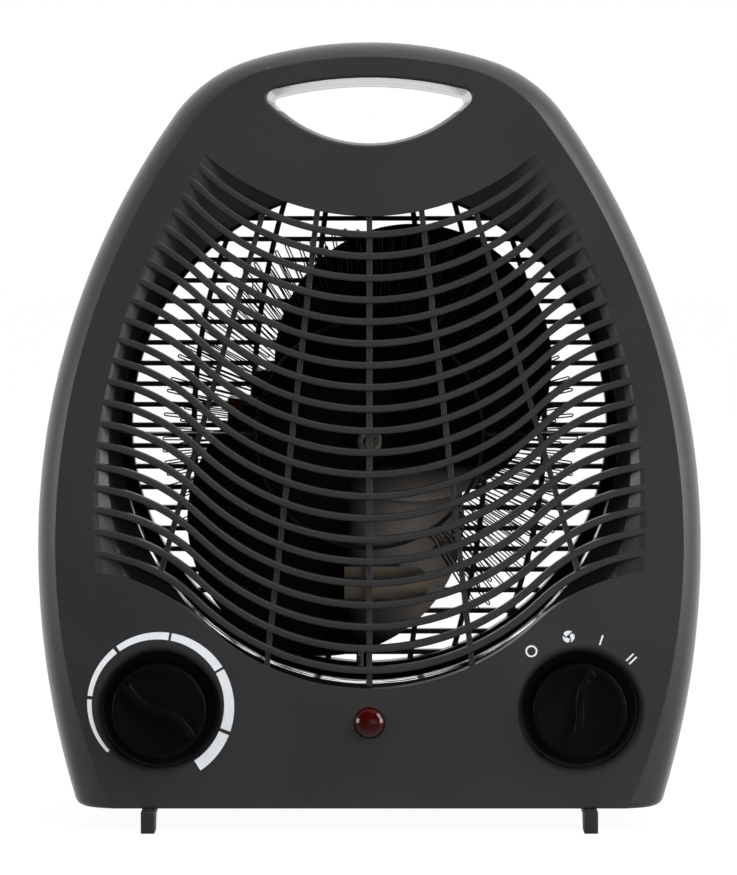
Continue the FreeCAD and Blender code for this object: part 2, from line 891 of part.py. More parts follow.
def arch_tool(name, growth):
    """Sloping cylinder under the foot of the front."""
    radius = size.arch_radius + growth
    drop = size.arch_radius / arch_cos
    start_z = arch_z + arch_reach * arch_tan - drop
    return cylinder(name, radius, size.front_depth, 0, face_y - arch_reach, start_z, arch_turn)


arch = arch_tool("arch", 0)
arch_wall = arch_tool("arch_wall", size.wall)
pillars = []
pilots = []
for step, (x, z) in enumerate(SCREWS):
    pillars.append(cylinder("pillar_%d" % step, size.tower_radius - size.seat_gap, size.front_depth, x, 0, z))
    pilots.append(cylinder("pilot_%d" % step, size.screw_radius + size.screw_fit,
                           size.case_screw_reach + size.screw_seat, x, 0, z))
front_keeps = fuse("front_keeps", [funnel, grip_tube, arch_wall] + cups + pillars)
front_hollow = cut("front_hollow", front_cavity, front_keeps)
front_openings = fuse("front_openings", [grip_cut, arch] + recesses)
front_body = soften("front_body", front_block, size.crease_round,
                    lambda edge: on_front(edge) and edge.BoundBox.ZMax > float(size.ground_gap * 2))
front_open = cut("front_open", front_body, front_openings)
grip_low = float(size.case_height - size.grip_bar - size.grip_drop) - float(size.wall)


def in_grip(edge):
    """True for edges of the handle opening."""
    bounds = edge.BoundBox
    wide = float(size.grip_half_width) + float(size.wall)
    high = float(size.case_height - size.grip_bar / 2)
    return bounds.ZMin > grip_low and bounds.ZMax < high and bounds.XMax < wide


def in_recess(edge):
    """True for edges of the two control recesses."""
    centre = edge.BoundBox.Center
    near = [math.hypot(centre.x - float(x), centre.z - float(size.control_height)) for x in control_x.values()]
    return min(near) < float(size.recess_radius) / 4


front_recessed = soften("front_recessed", front_open, size.recess_round,
                        lambda edge: on_front(edge) and in_recess(edge))
front_rounded = soften("front_rounded", front_recessed, size.grip_round,
                       lambda edge: on_front(edge) and in_grip(edge))
front_scooped = cut("front_scooped", front_rounded, scoop)
front_skin = cut("front_skin", front_scooped, front_hollow)

front_holes = [air_cut] + pilots
for control, x in control_x.items():
    front_holes.append(cylinder("%s_shaft_hole" % control, size.shaft_hole_radius,
                                size.recess_depth + size.wall * 2,
                                x, floor_y + size.wall * 2, size.control_height))
    for side in (-1, 1):
        front_holes.append(cylinder("%s_screw_hole" % control, size.screw_radius + size.seat_gap,
                                    size.recess_depth, x + size.control_screw_offset * side,
                                    floor_y + size.wall * 2, size.control_height))
front_holes.append(cylinder("lens_hole", size.lens_radius + size.lens_fit, size.overrun * 3, 0,
                            face_y + size.overrun * 2, size.lamp_height))
half_slot = size.foot_thickness / 2 + size.foot_fit
half_tab = size.foot_tab_length / 2 + size.foot_fit
for foot, x in FEET.items():
    front_holes.append(box("%s_front_slot" % foot, (x - half_slot, x + half_slot),
                           (-size.foot_tab_offset - half_tab, -size.foot_tab_offset + half_tab),
                           (size.ground_gap - size.overrun, size.ground_gap + size.wall + size.overrun)))
front_case = cut("front_case", front_skin, fuse("front_hole_tools", front_holes))

slats = []
slat_back = settle(crown("slat_back", size.slat_depth))
for step in range(SLAT_COUNT):
    height = first_slat - size.slat_pitch * step
    slat = band(height, -half_slat, height, half_slat, ahead,
                size.overrun + size.scoop_depth + size.slat_depth)
    slat = slat.common(front_crown.Shape).cut(slat_back.Shape).Solids[0]
    crest = [edge for edge in slat.Edges if on_front(edge) and edge.Length > 2 * float(size.slat_thickness)]
    slats.append(slat.makeFillet(float(size.slat_round), crest))
bar_top = size.air_height + size.air_radius
bar_foot = size.air_height - size.air_radius
half_bar = size.bar_width / 2
bars = []
for top_x, foot_x in ((0, 0), (size.inner_bar_top, size.inner_bar_foot),
                      (size.outer_bar_top, size.outer_bar_foot)):
    for side in (-1, 1):
        top = lift(top_x) * side
        foot = lift(foot_x) * side
        corners = [(top - half_bar, bar_top), (top + half_bar, bar_top),
                   (foot + half_bar, bar_foot), (foot - half_bar, bar_foot)]
        if side == 1 or top_x != 0:
            bars.append(slab(corners, ahead, size.overrun + size.bar_setback + size.bar_depth))
slat_set = shape("slat_set", Part.makeCompound(slats))
slat_trim = shape("slat_trim", Part.Face(scoop_rim.inset(-float(half_slat)).wire(ahead)).extrude(
    Vector(0, float(size.front_depth), 0)))
slat_grid = common("slat_grid", [slat_set, slat_trim])
bar_set = shape("bar_set", Part.makeCompound(bars))
bar_trim = cylinder("bar_trim", size.air_radius + half_bar, size.front_depth, 0, 0, size.air_height)
bar_crown = crown("bar_crown", size.bar_setback)
bar_grid = common("bar_grid", [bar_set, bar_crown, bar_trim])
keep("front_shell", fuse("front_shell", [front_case, slat_grid, bar_grid]))

# Rear shell with its moulded grille

back_y = size.rear_depth
inner_back_y = back_y - size.wall
rear_block = rear_roll("rear_loft", back, back_y, 0)
rear_body = soften("rear_body", rear_block, size.back_round,
                   lambda edge: edge.BoundBox.YMin > float(back_y) - float(size.parting_gap)
                   and edge.BoundBox.ZMax > float(size.ground_gap * 2))
rear_cavity = rear_roll("rear_cavity", back.inset(float(size.cavity_step)), inner_back_y, size.wall)
rear_grip_cut = loft("rear_grip_cut", [grip_wire(size.grip_draft, size.parting_gap / 2),
                                       grip_wire(size.grip_draft, back_y + size.overrun)], True)
rear_grip_tube = loft("rear_grip_tube", [grip_wire(size.grip_draft - size.wall, size.parting_gap),
                                         grip_wire(size.grip_draft - size.wall, back_y)], True)
seat_y = size.shield_rear + size.shield_end_gap
seat_outer = size.air_radius + size.seat_width
seat_ring = cylinder("seat_ring", seat_outer, back_y - seat_y + size.seat_lip, 0, back_y, size.air_height)
seat_hole = cylinder("seat_hole", size.air_radius + size.shield_gap + size.shield_sheet + size.seat_gap,
                     size.rear_depth, 0, seat_y, size.air_height)
seat = cut("seat", seat_ring, seat_hole)
towers = []
tower_holes = []
for step, (x, z) in enumerate(SCREWS):
    towers.append(cylinder("tower_%d" % step, size.tower_radius, size.rear_depth, x, back_y, z))
    tower_holes.append(cylinder("head_hole_%d" % step, size.head_hole_radius,
                                back_y - size.screw_seat + size.overrun, x, back_y + size.overrun, z))
    tower_holes.append(cylinder("shank_hole_%d" % step, size.shank_hole_radius, back_y, x, back_y, z))
rear_keeps = fuse("rear_keeps", [rear_grip_tube, seat] + towers)
rear_hollow = cut("rear_hollow", rear_cavity, rear_keeps)
rear_skin = cut("rear_skin", rear_body, rear_hollow)
rear_air = cylinder("rear_air", size.air_radius, size.rear_depth, 0, back_y + size.overrun, size.air_height)
rear_holes = [rear_air, rear_grip_cut] + tower_holes
for foot, x in FEET.items():
    rear_holes.append(box("%s_rear_slot" % foot, (x - half_slot, x + half_slot),
                          (size.foot_tab_offset - half_tab, size.foot_tab_offset + half_tab),
                          (size.ground_gap - size.overrun, size.ground_gap + size.wall + size.overrun)))
gland_left = size.gland_offset - size.gland_width / 2
gland_right = size.gland_offset + size.gland_width / 2
gland_high = size.gland_height + size.gland_top
rear_holes.append(box("gland_notch", (gland_left, gland_right),
                      (inner_back_y - size.overrun, back_y + size.overrun),
                      (size.ground_gap - size.overrun, gland_high)))
rear_case = cut("rear_case", rear_skin, fuse("rear_hole_tools", rear_holes))

back_slats = []
half_back_slat = size.back_slat_thickness / 2
back_front = back_y - size.back_slat_depth
rows = int(float(size.air_radius / size.slat_pitch))
for step in range(-rows, rows + 1):
    height = size.air_height + size.slat_pitch * step
    corners = [(-size.air_radius, height - half_back_slat), (size.air_radius, height - half_back_slat),
               (size.air_radius, height + half_back_slat), (-size.air_radius, height + half_back_slat)]
    back_slats.append(slab(corners, back_front, size.back_slat_depth))
half_rib = size.back_rib_width / 2
back_ribs = []
for step in range(-RIBS_EACH_SIDE, RIBS_EACH_SIDE + 1):
    middle = size.back_rib_step * step
    end = middle * (1 - size.back_rib_bow_share)
    sides = []
    for shift in (-half_rib, half_rib):
        points = [Vector(float(x + shift), float(back_front), float(z)) for x, z in
                  ((end, size.air_height - size.air_radius), (middle, size.air_height),
                   (end, size.air_height + size.air_radius))]
        if step == 0:
            sides.append(Part.LineSegment(points[0], points[2]).toShape())
        else:
            sides.append(arc(*points))
    lines = []
    for finish in (0, -1):
        lines.append(Part.LineSegment(sides[0].Vertexes[finish].Point, sides[1].Vertexes[finish].Point).toShape())
    rib_wire = Part.Wire(Part.__sortEdges__(sides + lines))
    back_ribs.append(Part.Face(rib_wire).extrude(Vector(0, float(size.back_slat_depth), 0)))
back_slat_set = shape("back_slat_set", Part.makeCompound(back_slats))
back_rib_set = shape("back_rib_set", Part.makeCompound(back_ribs))
back_trim = cylinder("back_trim", size.air_radius + half_rib, size.rear_depth, 0, back_y, size.air_height)
back_grid = common("back_grid", [back_slat_set, back_trim])
back_rib_grid = common("back_rib_grid", [back_rib_set, back_trim])
motor_disc = cylinder("motor_disc", size.motor_disc_radius, size.back_slat_depth, 0, back_y, axis_z)
bracket_back = size.stack_front + size.stack_depth + size.bracket_sheet
posts = []
for side in (-1, 1):
    z = axis_z + size.motor_screw_offset * side
    post = cylinder("motor_post", size.motor_post_radius, back_y - bracket_back, 0, back_y, z)
    pilot = cylinder("motor_pilot", size.screw_radius + size.screw_fit, size.motor_screw_bite + size.overrun,
                     0, bracket_back + size.motor_screw_bite, z)
    posts.append(cut("motor_post_bored", post, pilot))
keep("rear_shell", fuse("rear_shell", [rear_case, back_grid, back_rib_grid, motor_disc] + posts))

# Case screws

def screw(name, x, y, z, length, head_radius, head_height):
    """Pan-head screw that points to the front, with its head's seat at y."""
    body = new_body(name, x, y, z)
    shank = new_sketch(body, name + "_shank")
    circle(shank, size.screw_radius)
    pad(body, shank, length, name + "_shank_pad")
    head = new_sketch(body, name + "_head", -head_height)
    circle(head, head_radius)
    pad(body, head, head_height, name + "_head_pad")
    cross = new_sketch(body, name + "_slot", -head_height + size.slot_depth)
    reach = head_radius * size.slot_reach_share
    rectangle(cross, -reach, reach, -size.slot_width / 2, size.slot_width / 2)
    pocket(body, cross, size.slot_depth, name + "_slot_pocket")
    return body


def back_screw(name, x, y, z, length):
    """Pan-head screw that points to the rear, with its head's seat at y."""
    body = screw(name, x, y, z, length, size.screw_head_radius, size.screw_head_height)
    place(body, x, y, z, Rotation(Vector(1, 0, 0), -90))
    return body


case_screws = []
for step, (x, z) in enumerate(SCREWS):
    case_screws.append(screw("case_screw_%d" % step, x, size.screw_seat, z,
                             size.screw_seat + size.case_screw_reach, size.screw_head_radius, size.screw_head_height))
keep("case_screws", group("case_screws", case_screws))

# Feet that plug into the underside

for foot, x in FEET.items():
    body = new_body(foot, x - size.foot_thickness / 2, 0, 0, Rotation(Vector(1, 1, 1), 120))
    outline = new_sketch(body, foot + "_outline")
    half = size.foot_length / 2
    tab_in = size.foot_tab_offset - size.foot_tab_length / 2
    tab_out = size.foot_tab_offset + size.foot_tab_length / 2
    tab_top = size.ground_gap + size.foot_tab_rise
    right = [(half - size.foot_pad, 0), (half - size.foot_toe, 0), (half, size.foot_toe), (half, size.ground_gap),
             (tab_out, size.ground_gap), (tab_out, tab_top), (tab_in, tab_top), (tab_in, size.ground_gap)]
    left = [(-along, rise) for along, rise in reversed(right)]
    relief = [(-(half - size.foot_pad - size.foot_relief), size.foot_relief),
              (half - size.foot_pad - size.foot_relief, size.foot_relief)]
    polygon(outline, right + left + relief)
    pad(body, outline, size.foot_thickness, foot + "_plate")
    keep(foot, body)

# Heat shield round the air path

shield_inner = size.air_radius + size.shield_gap
body = new_body("heat_shield", 0, size.shield_rear, size.air_height)
rings = new_sketch(body, "shield_rings")
circle(rings, shield_inner)
circle(rings, shield_inner + size.shield_sheet)
pad(body, rings, size.shield_rear - air_y - size.shield_end_gap, "shield_wall")
keep("heat_shield", body)

# Mica hoop and arms

body = new_body("mica_hoop", 0, -size.arm_front + size.arm_depth / 2 + size.hoop_depth / 2, size.air_height)
rings = new_sketch(body, "hoop_rings")
circle(rings, size.hoop_radius)
circle(rings, size.hoop_radius + size.mica_sheet)
pad(body, rings, size.hoop_depth, "hoop_wall")
keep("mica_hoop", body)

arm_inner = size.hoop_radius + size.mica_sheet + size.mica_gap
arm_outer = shield_inner - size.mica_gap
arms = []
for step in range(ARM_COUNT):
    turn = Rotation(Vector(0, 1, 0), -360 * step / ARM_COUNT).multiply(FORWARD)
    body = new_body("mica_arm_%d" % step, 0, 0, size.air_height, turn)
    plate = new_sketch(body, "arm_plate_%d" % step, 0, "XZ_Plane")
    back_edge = size.arm_front - size.arm_depth
    corners = [(arm_inner, back_edge), (arm_outer, back_edge), (arm_outer, size.arm_front)]
    if step == 1:
        corners += [(size.tab_outer, size.arm_front), (size.tab_outer, size.tab_front),
                    (size.tab_inner, size.tab_front), (size.tab_inner, size.arm_front)]
    polygon(plate, corners + [(arm_inner, size.arm_front)])
    sheet_pad = pad(body, plate, size.mica_sheet, "arm_sheet_%d" % step)
    sheet_pad.Midplane = True
    doc.recompute()
    arms.append(body)
keep("mica_arms", group("mica_arms", arms))

# Heating wires, each one unbroken zigzag


def zigzag(name, inner, outer, front):
    """Serpentine wire between two radii, open at the lowest arm, from a formula of its turns."""
    height = float(size.air_height)
    half = float(size.wire_size) / 2
    spread = 360 - 2 * float(size.wire_end_angle)
    legs = 2 * ZIGZAG_COUNT
    flat = float(size.wire_flat) / 2
    marks = []
    for step in range(legs + 1):
        angle = math.radians(-90 + float(size.wire_end_angle) + spread * step / legs)
        radius = float(inner) if step % 2 == 0 else float(outer)
        for side in (-1, 1):
            lean = angle + side * flat / radius
            marks.append(Vector(radius * math.cos(lean), 0, radius * math.sin(lean)))
    sides = {-1: [], 1: []}
    for step, mark in enumerate(marks):
        before = marks[max(step - 1, 0)]
        after = marks[min(step + 1, len(marks) - 1)]
        into = (mark - before) if step else (after - mark)
        out = (after - mark) if step < len(marks) - 1 else (mark - before)
        into.normalize()
        out.normalize()
        tangent = into + out
        tangent.normalize()
        normal = Vector(-tangent.z, 0, tangent.x)
        widen = half / max(normal.dot(Vector(-out.z, 0, out.x)), half)
        for side in (-1, 1):
            sides[side].append(mark + normal * (side * widen) + Vector(0, float(front), height))
    ring = sides[-1] + list(reversed(sides[1]))
    least = float(outer)
    for step in range(0, len(marks) - 6):
        for later in range(step + 4, min(step + 10, len(marks))):
            least = min(least, (marks[step] - marks[later]).Length - 2 * half)
    print("%s: least gap to itself %.2f mm" % (name, least))
    solid = Part.Face(Part.makePolygon(ring + ring[:1])).extrude(Vector(0, float(size.wire_size), 0))
    keep(name, shape(name, solid))


front_wire_y = -size.arm_front - size.mica_gap - size.wire_size
rear_wire_y = -size.arm_front + size.arm_depth + size.mica_gap
zigzag("heating_wire_front", size.front_wire_inner, size.front_wire_outer, front_wire_y)
zigzag("heating_wire_rear", size.rear_wire_inner, size.rear_wire_outer, rear_wire_y)

# Thermal cut-out, its strip and the thermal fuse on the lowest arm

tab_low = size.air_height - size.tab_outer
tab_high = size.air_height - size.tab_inner
half_sheet = size.mica_sheet / 2
body = new_body("thermal_cutout", 0, -size.tab_front + size.cutout_depth, 0)
block = new_sketch(body, "cutout_block")
rectangle(block, half_sheet, half_sheet + size.cutout_width, tab_low, tab_high)
pad(body, block, size.cutout_depth, "cutout_body")
keep("thermal_cutout", body)

strip_middle = (tab_low + tab_high) / 2
strip_low = strip_middle - size.strip_tall / 2
strip_high = strip_middle + size.strip_tall / 2
tongue = box("strip_plate", (-size.strip_left, size.strip_right - size.strip_tall / 2),
             (-size.tab_front - size.strip_sheet, -size.tab_front), (strip_low, strip_high))
tongue_end = cylinder("strip_end", size.strip_tall / 2, size.strip_sheet, size.strip_right - size.strip_tall / 2,
                      -size.tab_front, strip_middle)
keep("cutout_strip", fuse("cutout_strip", [tongue, tongue_end]))

fuse_x = -half_sheet - size.mica_gap / 2 - size.fuse_radius
fuse_top = size.air_height - size.fuse_inner
body = new_body("thermal_fuse", fuse_x, -size.arm_front + size.arm_depth / 2, fuse_top - size.fuse_length, UPRIGHT)
can = new_sketch(body, "fuse_can")
circle(can, size.fuse_radius)
pad(body, can, size.fuse_length, "fuse_barrel")
keep("thermal_fuse", body)

# Fan with two cambered paddle blades

lean = math.radians(float(size.blade_lean))
pitch = math.radians(float(size.blade_pitch))
radial = Vector(math.cos(lean), 0, math.sin(lean))
across = Vector(math.sin(lean), 0, -math.cos(lean))
axis_point = Vector(0, 0, float(axis_z))
camber = float(size.blade_camber_radius)
sheet_thick = float(size.blade_sheet)
blade_reach = float(size.blade_offset + size.blade_radius)
camber_back = Vector(0, camber * math.cos(pitch) - float(size.blade_forward), 0)
camber_start = axis_point + camber_back + across * (camber * math.sin(pitch)) - radial * blade_reach
outer_skin = Part.makeCylinder(camber + sheet_thick / 2, 2 * blade_reach, camber_start, radial)
inner_skin = Part.makeCylinder(camber - sheet_thick / 2, 2 * blade_reach, camber_start, radial)
paddle_centre = axis_point + radial * float(size.blade_offset) - Vector(0, float(size.front_depth), 0)
paddle = Part.makeCylinder(float(size.blade_radius), float(size.front_depth) * 2, paddle_centre, Vector(0, 1, 0))
blade = outer_skin.cut(inner_skin).common(paddle)
blades = []
for step in range(BLADE_COUNT):
    turned = blade.copy()
    turned.rotate(axis_point, Vector(0, 1, 0), 360.0 * step / BLADE_COUNT)
    blades.append(shape("blade_%d" % step, turned))
hub_rear = size.hub_length - size.hub_front
hub = cylinder("hub", size.hub_radius, size.hub_length, 0, hub_rear, axis_z)
hub_bore = cylinder("hub_bore", size.motor_shaft_radius + size.press_gap, size.hub_length + size.overrun * 2,
                    0, hub_rear + size.overrun, axis_z)
fan_solid = fuse("fan_solid", blades + [hub])
keep("fan_impeller", cut("fan_impeller", fan_solid, hub_bore))

body = new_body("fan_nut", 0, -size.hub_front, axis_z)
ring = new_sketch(body, "nut_ring")
circle(ring, size.nut_radius)
circle(ring, size.motor_shaft_radius + size.press_gap)
pad(body, ring, size.nut_length, "nut_body")
keep("fan_nut", body)

# Motor

body = new_body("motor_shaft", 0, size.shaft_rear, axis_z)
rod = new_sketch(body, "shaft_circle")
circle(rod, size.motor_shaft_radius)
pad(body, rod, size.shaft_rear + size.shaft_front, "shaft_rod")
keep("motor_shaft", body)

stack_rear = size.stack_front + size.stack_depth
body = new_body("motor_rotor", 0, stack_rear - size.rotor_side_gap, axis_z)
drum = new_sketch(body, "rotor_rings")
circle(drum, size.rotor_radius)
circle(drum, size.motor_shaft_radius + size.press_gap)
pad(body, drum, size.stack_depth - size.rotor_side_gap * 2, "rotor_drum")
keep("motor_rotor", body)

body = new_body("stator_core", 0, stack_rear, axis_z)
stack = new_sketch(body, "core_outline")
rectangle(stack, -size.core_left, size.core_right, -size.core_half_height, size.core_half_height)
circle(stack, size.core_bore_radius)
rectangle(stack, -size.window_left, -size.window_right, -size.window_half_height, size.window_half_height)
for side in (-1, 1):
    circle(stack, size.screw_radius + size.seat_gap, 0, size.motor_screw_offset * side)
pad(body, stack, size.stack_depth, "core_stack")
keep("stator_core", body)


def coil_tube(name, x_left, x_right, grow, inner_grow, half_height):
    """Rectangular tube round the left leg of the core, wound about the vertical."""
    body = new_body(name, 0, 0, axis_z - half_height, UPRIGHT)
    section = new_sketch(body, name + "_section")
    rectangle(section, x_left, x_right, size.stack_front - grow, stack_rear + grow)
    rectangle(section, -size.core_left - inner_grow, -size.window_left + inner_grow,
              size.stack_front - inner_grow, stack_rear + inner_grow)
    pad(body, section, half_height * 2, name + "_tube")
    keep(name, body)


bobbin_inner = size.bobbin_gap
bobbin_outer = bobbin_inner + size.bobbin_sheet
coil_inner = bobbin_outer + size.press_gap
bobbin_half = size.window_half_height - size.bobbin_gap
coil_tube("coil_bobbin", -size.core_left - bobbin_outer, -size.window_left + bobbin_outer, bobbin_outer,
          bobbin_inner, bobbin_half)
coil_tube("motor_coil", -size.core_left - bobbin_outer - size.coil_build, -size.window_right - size.coil_gap,
          bobbin_outer + size.coil_build, coil_inner, bobbin_half - size.coil_gap)


def bracket(label, y, rotation):
    """Strap with a bearing boss that points away from the core."""
    body = new_body(label, 0, y, axis_z, rotation)
    strap = new_sketch(body, label + "_strap")
    rectangle(strap, -size.bracket_width / 2, size.bracket_width / 2, -size.bracket_half_height,
              size.bracket_half_height)
    for side in (-1, 1):
        circle(strap, size.screw_radius + size.seat_gap, 0, size.motor_screw_offset * side)
    circle(strap, size.bearing_radius + size.press_gap)
    pad(body, strap, size.bracket_sheet, label + "_plate")
    boss = new_sketch(body, label + "_boss")
    circle(boss, size.bracket_boss_radius)
    circle(boss, size.bearing_radius + size.press_gap)
    pad(body, boss, size.bracket_sheet + size.bracket_boss_length, label + "_boss_pad")
    keep(label, body)


def bearing(label, y, rotation):
    """Plain bush inside a bracket boss."""
    body = new_body(label, 0, y, axis_z, rotation)
    bush = new_sketch(body, label + "_rings")
    circle(bush, size.bearing_radius)
    circle(bush, size.motor_shaft_radius + size.run_gap)
    pad(body, bush, size.bearing_length, label + "_bush")
    keep(label, body)


BACKWARD = Rotation(Vector(1, 0, 0), -90)
bracket("front_bracket", size.stack_front, FORWARD)
bracket("rear_bracket", stack_rear, BACKWARD)
bearing("front_bearing", size.stack_front, FORWARD)
bearing("rear_bearing", stack_rear, BACKWARD)
motor_screws = []
for step, side in enumerate((-1, 1)):
    motor_screws.append(back_screw("motor_screw_%d" % step, 0, size.stack_front - size.bracket_sheet,
                                   axis_z + size.motor_screw_offset * side,
                                   size.stack_depth + size.bracket_sheet * 2 + size.motor_screw_bite - size.slot_depth))
keep("motor_screws", group("motor_screws", motor_screws))

# Thermostat and rotary switch behind the recess floors

control_y = floor_y + size.wall
CONTROLS = {
    "thermostat": (size.thermostat_width / 2, size.thermostat_tall / 2, size.thermostat_depth),
    "switch": (size.switch_size / 2, size.switch_size / 2, size.switch_depth),
}
control_screws = []
for control, (half_wide, half_tall, depth) in CONTROLS.items():
    x = control_x[control]
    body = new_body(control + "_body", x, control_y + depth, size.control_height)
    block = new_sketch(body, control + "_block")
    chamfer = size.switch_cut
    polygon(block, [(-half_wide + chamfer, -half_tall), (half_wide - chamfer, -half_tall),
                    (half_wide, -half_tall + chamfer), (half_wide, half_tall - chamfer),
                    (half_wide - chamfer, half_tall), (-half_wide + chamfer, half_tall),
                    (-half_wide, half_tall - chamfer), (-half_wide, -half_tall + chamfer)])
    pad(body, block, depth, control + "_case")
    bed = new_sketch(body, control + "_bed", depth)
    circle(bed, size.control_shaft_radius + size.shaft_clearance)
    pocket(body, bed, size.control_shaft_bed, control + "_bed_pocket")
    threads = new_sketch(body, control + "_threads", depth)
    for side in (-1, 1):
        circle(threads, size.screw_radius + size.screw_fit, size.control_screw_offset * side)
    pocket(body, threads, size.screw_bite + size.screw_fit, control + "_thread_pockets")
    tags = new_sketch(body, control + "_tags", -size.terminal_length)
    for side in (-1, 1):
        middle = half_wide * side / 2
        rectangle(tags, middle - size.terminal_width / 2, middle + size.terminal_width / 2,
                  -size.terminal_thickness / 2, size.terminal_thickness / 2)
    pad(body, tags, size.terminal_length, control + "_terminals")
    keep(control + "_body", body)
    for side in (-1, 1):
        control_screws.append(back_screw("%s_screw" % control, x + size.control_screw_offset * side, floor_y,
                                         size.control_height, size.wall + size.screw_bite))
keep("control_screws", group("control_screws", control_screws))

knob_y = floor_y - size.knob_lift
for control, x in control_x.items():
    shaft_rear = control_y + size.control_shaft_bed - size.shaft_clearance
    body = new_body(control + "_shaft", x, shaft_rear, size.control_height)
    rod = new_sketch(body, control + "_rod")
    circle(rod, size.control_shaft_radius)
    pad(body, rod, shaft_rear - knob_y + size.knob_bore_depth - size.shaft_clearance, control + "_shaft_pad")
    keep(control + "_shaft", body)

# Knobs with a slightly dished face and an S-shaped grip ridge

TURNS = {"thermostat": size.thermostat_turn, "switch": size.switch_turn}
for control, x in control_x.items():
    turn = FORWARD.multiply(Rotation(Vector(0, 0, 1), -float(TURNS[control])))
    body = new_body(control + "_dial", x, knob_y, size.control_height, turn)
    profile = new_sketch(body, control + "_profile", 0, "XZ_Plane")
    bore = size.control_shaft_radius + size.press_gap
    skirt = size.knob_radius - size.knob_skirt
    rim = size.knob_radius - size.knob_taper
    dish_floor = size.knob_length - size.knob_dish
    polygon(profile, [
        (bore, 0), (size.knob_boss_radius, 0), (size.knob_boss_radius, size.knob_skirt_depth),
        (skirt, size.knob_skirt_depth), (skirt, 0), (size.knob_radius, 0), (rim, size.knob_length),
        (rim - size.knob_rim, size.knob_length), (rim - size.knob_rim * 2, dish_floor), (0, dish_floor),
        (0, size.knob_bore_depth), (bore, size.knob_bore_depth),
    ])
    revolve(body, profile, control + "_dial_turn")
    half = float(size.ridge_half_length)
    bend = float(size.ridge_bend_radius)
    half_ridge = float(size.ridge_width) / 2
    drop = math.sqrt(bend ** 2 - (half / 2) ** 2)
    spread = math.asin(half / 2 / bend)
    edges = {}
    for side in (-1, 1):
        runs = []
        for end, bulge in ((1, -1), (-1, 1)):
            centre = Vector(-bulge * drop, end * half / 2, 0)
            radius = bend + side * bulge * half_ridge
            points = []
            for angle in (spread, 0, -spread):
                points.append(centre + Vector(bulge * radius * math.cos(angle), radius * math.sin(angle), 0))
            runs.append(points)
        meet = (runs[0][2] + runs[1][0]) * 0.5
        edges[side] = [arc(runs[0][0], runs[0][1], meet), arc(meet, runs[1][1], runs[1][2])]
    top = Part.LineSegment(edges[-1][0].Vertexes[0].Point, edges[1][0].Vertexes[0].Point).toShape()
    low = Part.LineSegment(edges[-1][1].Vertexes[-1].Point, edges[1][1].Vertexes[-1].Point).toShape()
    ridge_wire = Part.Wire(Part.__sortEdges__(edges[-1] + edges[1] + [top, low]))
    ridge_solid = Part.Face(ridge_wire).extrude(Vector(0, 0, float(size.knob_dish + size.ridge_rise + size.ridge_root)))
    ridge = shape(control + "_ridge", ridge_solid)
    lift_y = knob_y - dish_floor + size.ridge_root
    ridge.Placement = Placement(Vector(float(x), float(lift_y), float(size.control_height)), turn)
    dial = fuse(control + "_dial_ridge", [body, ridge])
    dimple = doc.addObject("Part::Box", control + "_dimple")
    for side in ("Length", "Width"):
        dimple.setExpression(side, size.dimple_size.text)
    dimple.setExpression("Height", (size.dimple_depth + size.overrun).text)
    dimple_place = Placement(Vector(float(x), float(knob_y), float(size.control_height)), turn)
    corner = Vector(-float(size.dimple_size) / 2, half - 2 * float(size.dimple_size),
                    float(size.knob_length + size.ridge_rise - size.dimple_depth))
    dimple.Placement = dimple_place.multiply(Placement(corner, UPRIGHT))
    keep(control + "_knob", cut(control + "_knob", dial, dimple))

# Indicator lens, holder and bulb

crown_fall = (size.crown_height - size.lamp_height) * (size.crown_height - size.lamp_height) / (size.crown_radius * 2)
lamp_face_y = face_y + crown_fall
flange_y = lamp_face_y + size.wall + size.flange_gap
body = new_body("indicator_lens", 0, flange_y + size.flange_sheet, size.lamp_height)
profile = new_sketch(body, "lens_profile", 0, "XZ_Plane")
lens_front = size.flange_sheet + size.flange_gap + size.wall
flange_radius = size.lens_radius + size.lens_flange
bulb_room = size.bulb_radius + size.lens_wall / 2
polygon(profile, [
    (bulb_room, 0), (flange_radius, 0), (flange_radius, size.flange_sheet), (size.lens_radius, size.flange_sheet),
    (size.lens_radius, lens_front),
    (size.lens_radius * size.lens_wide_share, lens_front + size.lens_dome * size.lens_low_share),
    (size.lens_radius * size.lens_low_share, lens_front + size.lens_dome * size.lens_wide_share),
    (0, lens_front + size.lens_dome),
    (0, lens_front), (bulb_room, lens_front - size.lens_wall),
])
revolve(body, profile, "lens_turn")
keep("indicator_lens", body)

holder_y = flange_y + size.flange_sheet
body = new_body("lamp_holder", 0, holder_y + size.holder_length, size.lamp_height)
tube = new_sketch(body, "holder_rings")
circle(tube, flange_radius)
pad(body, tube, size.holder_length, "holder_tube")
well = new_sketch(body, "holder_well", size.holder_length)
circle(well, size.bulb_radius + size.press_gap)
pocket(body, well, size.bulb_length, "holder_well_pocket")
keep("lamp_holder", body)

body = new_body("indicator_bulb", 0, holder_y + size.bulb_length, size.lamp_height)
glass = new_sketch(body, "bulb_circle")
circle(glass, size.bulb_radius)
pad(body, glass, size.bulb_length, "bulb_barrel")
keep("indicator_bulb", body)

# Cord gland in its notch in the rear wall

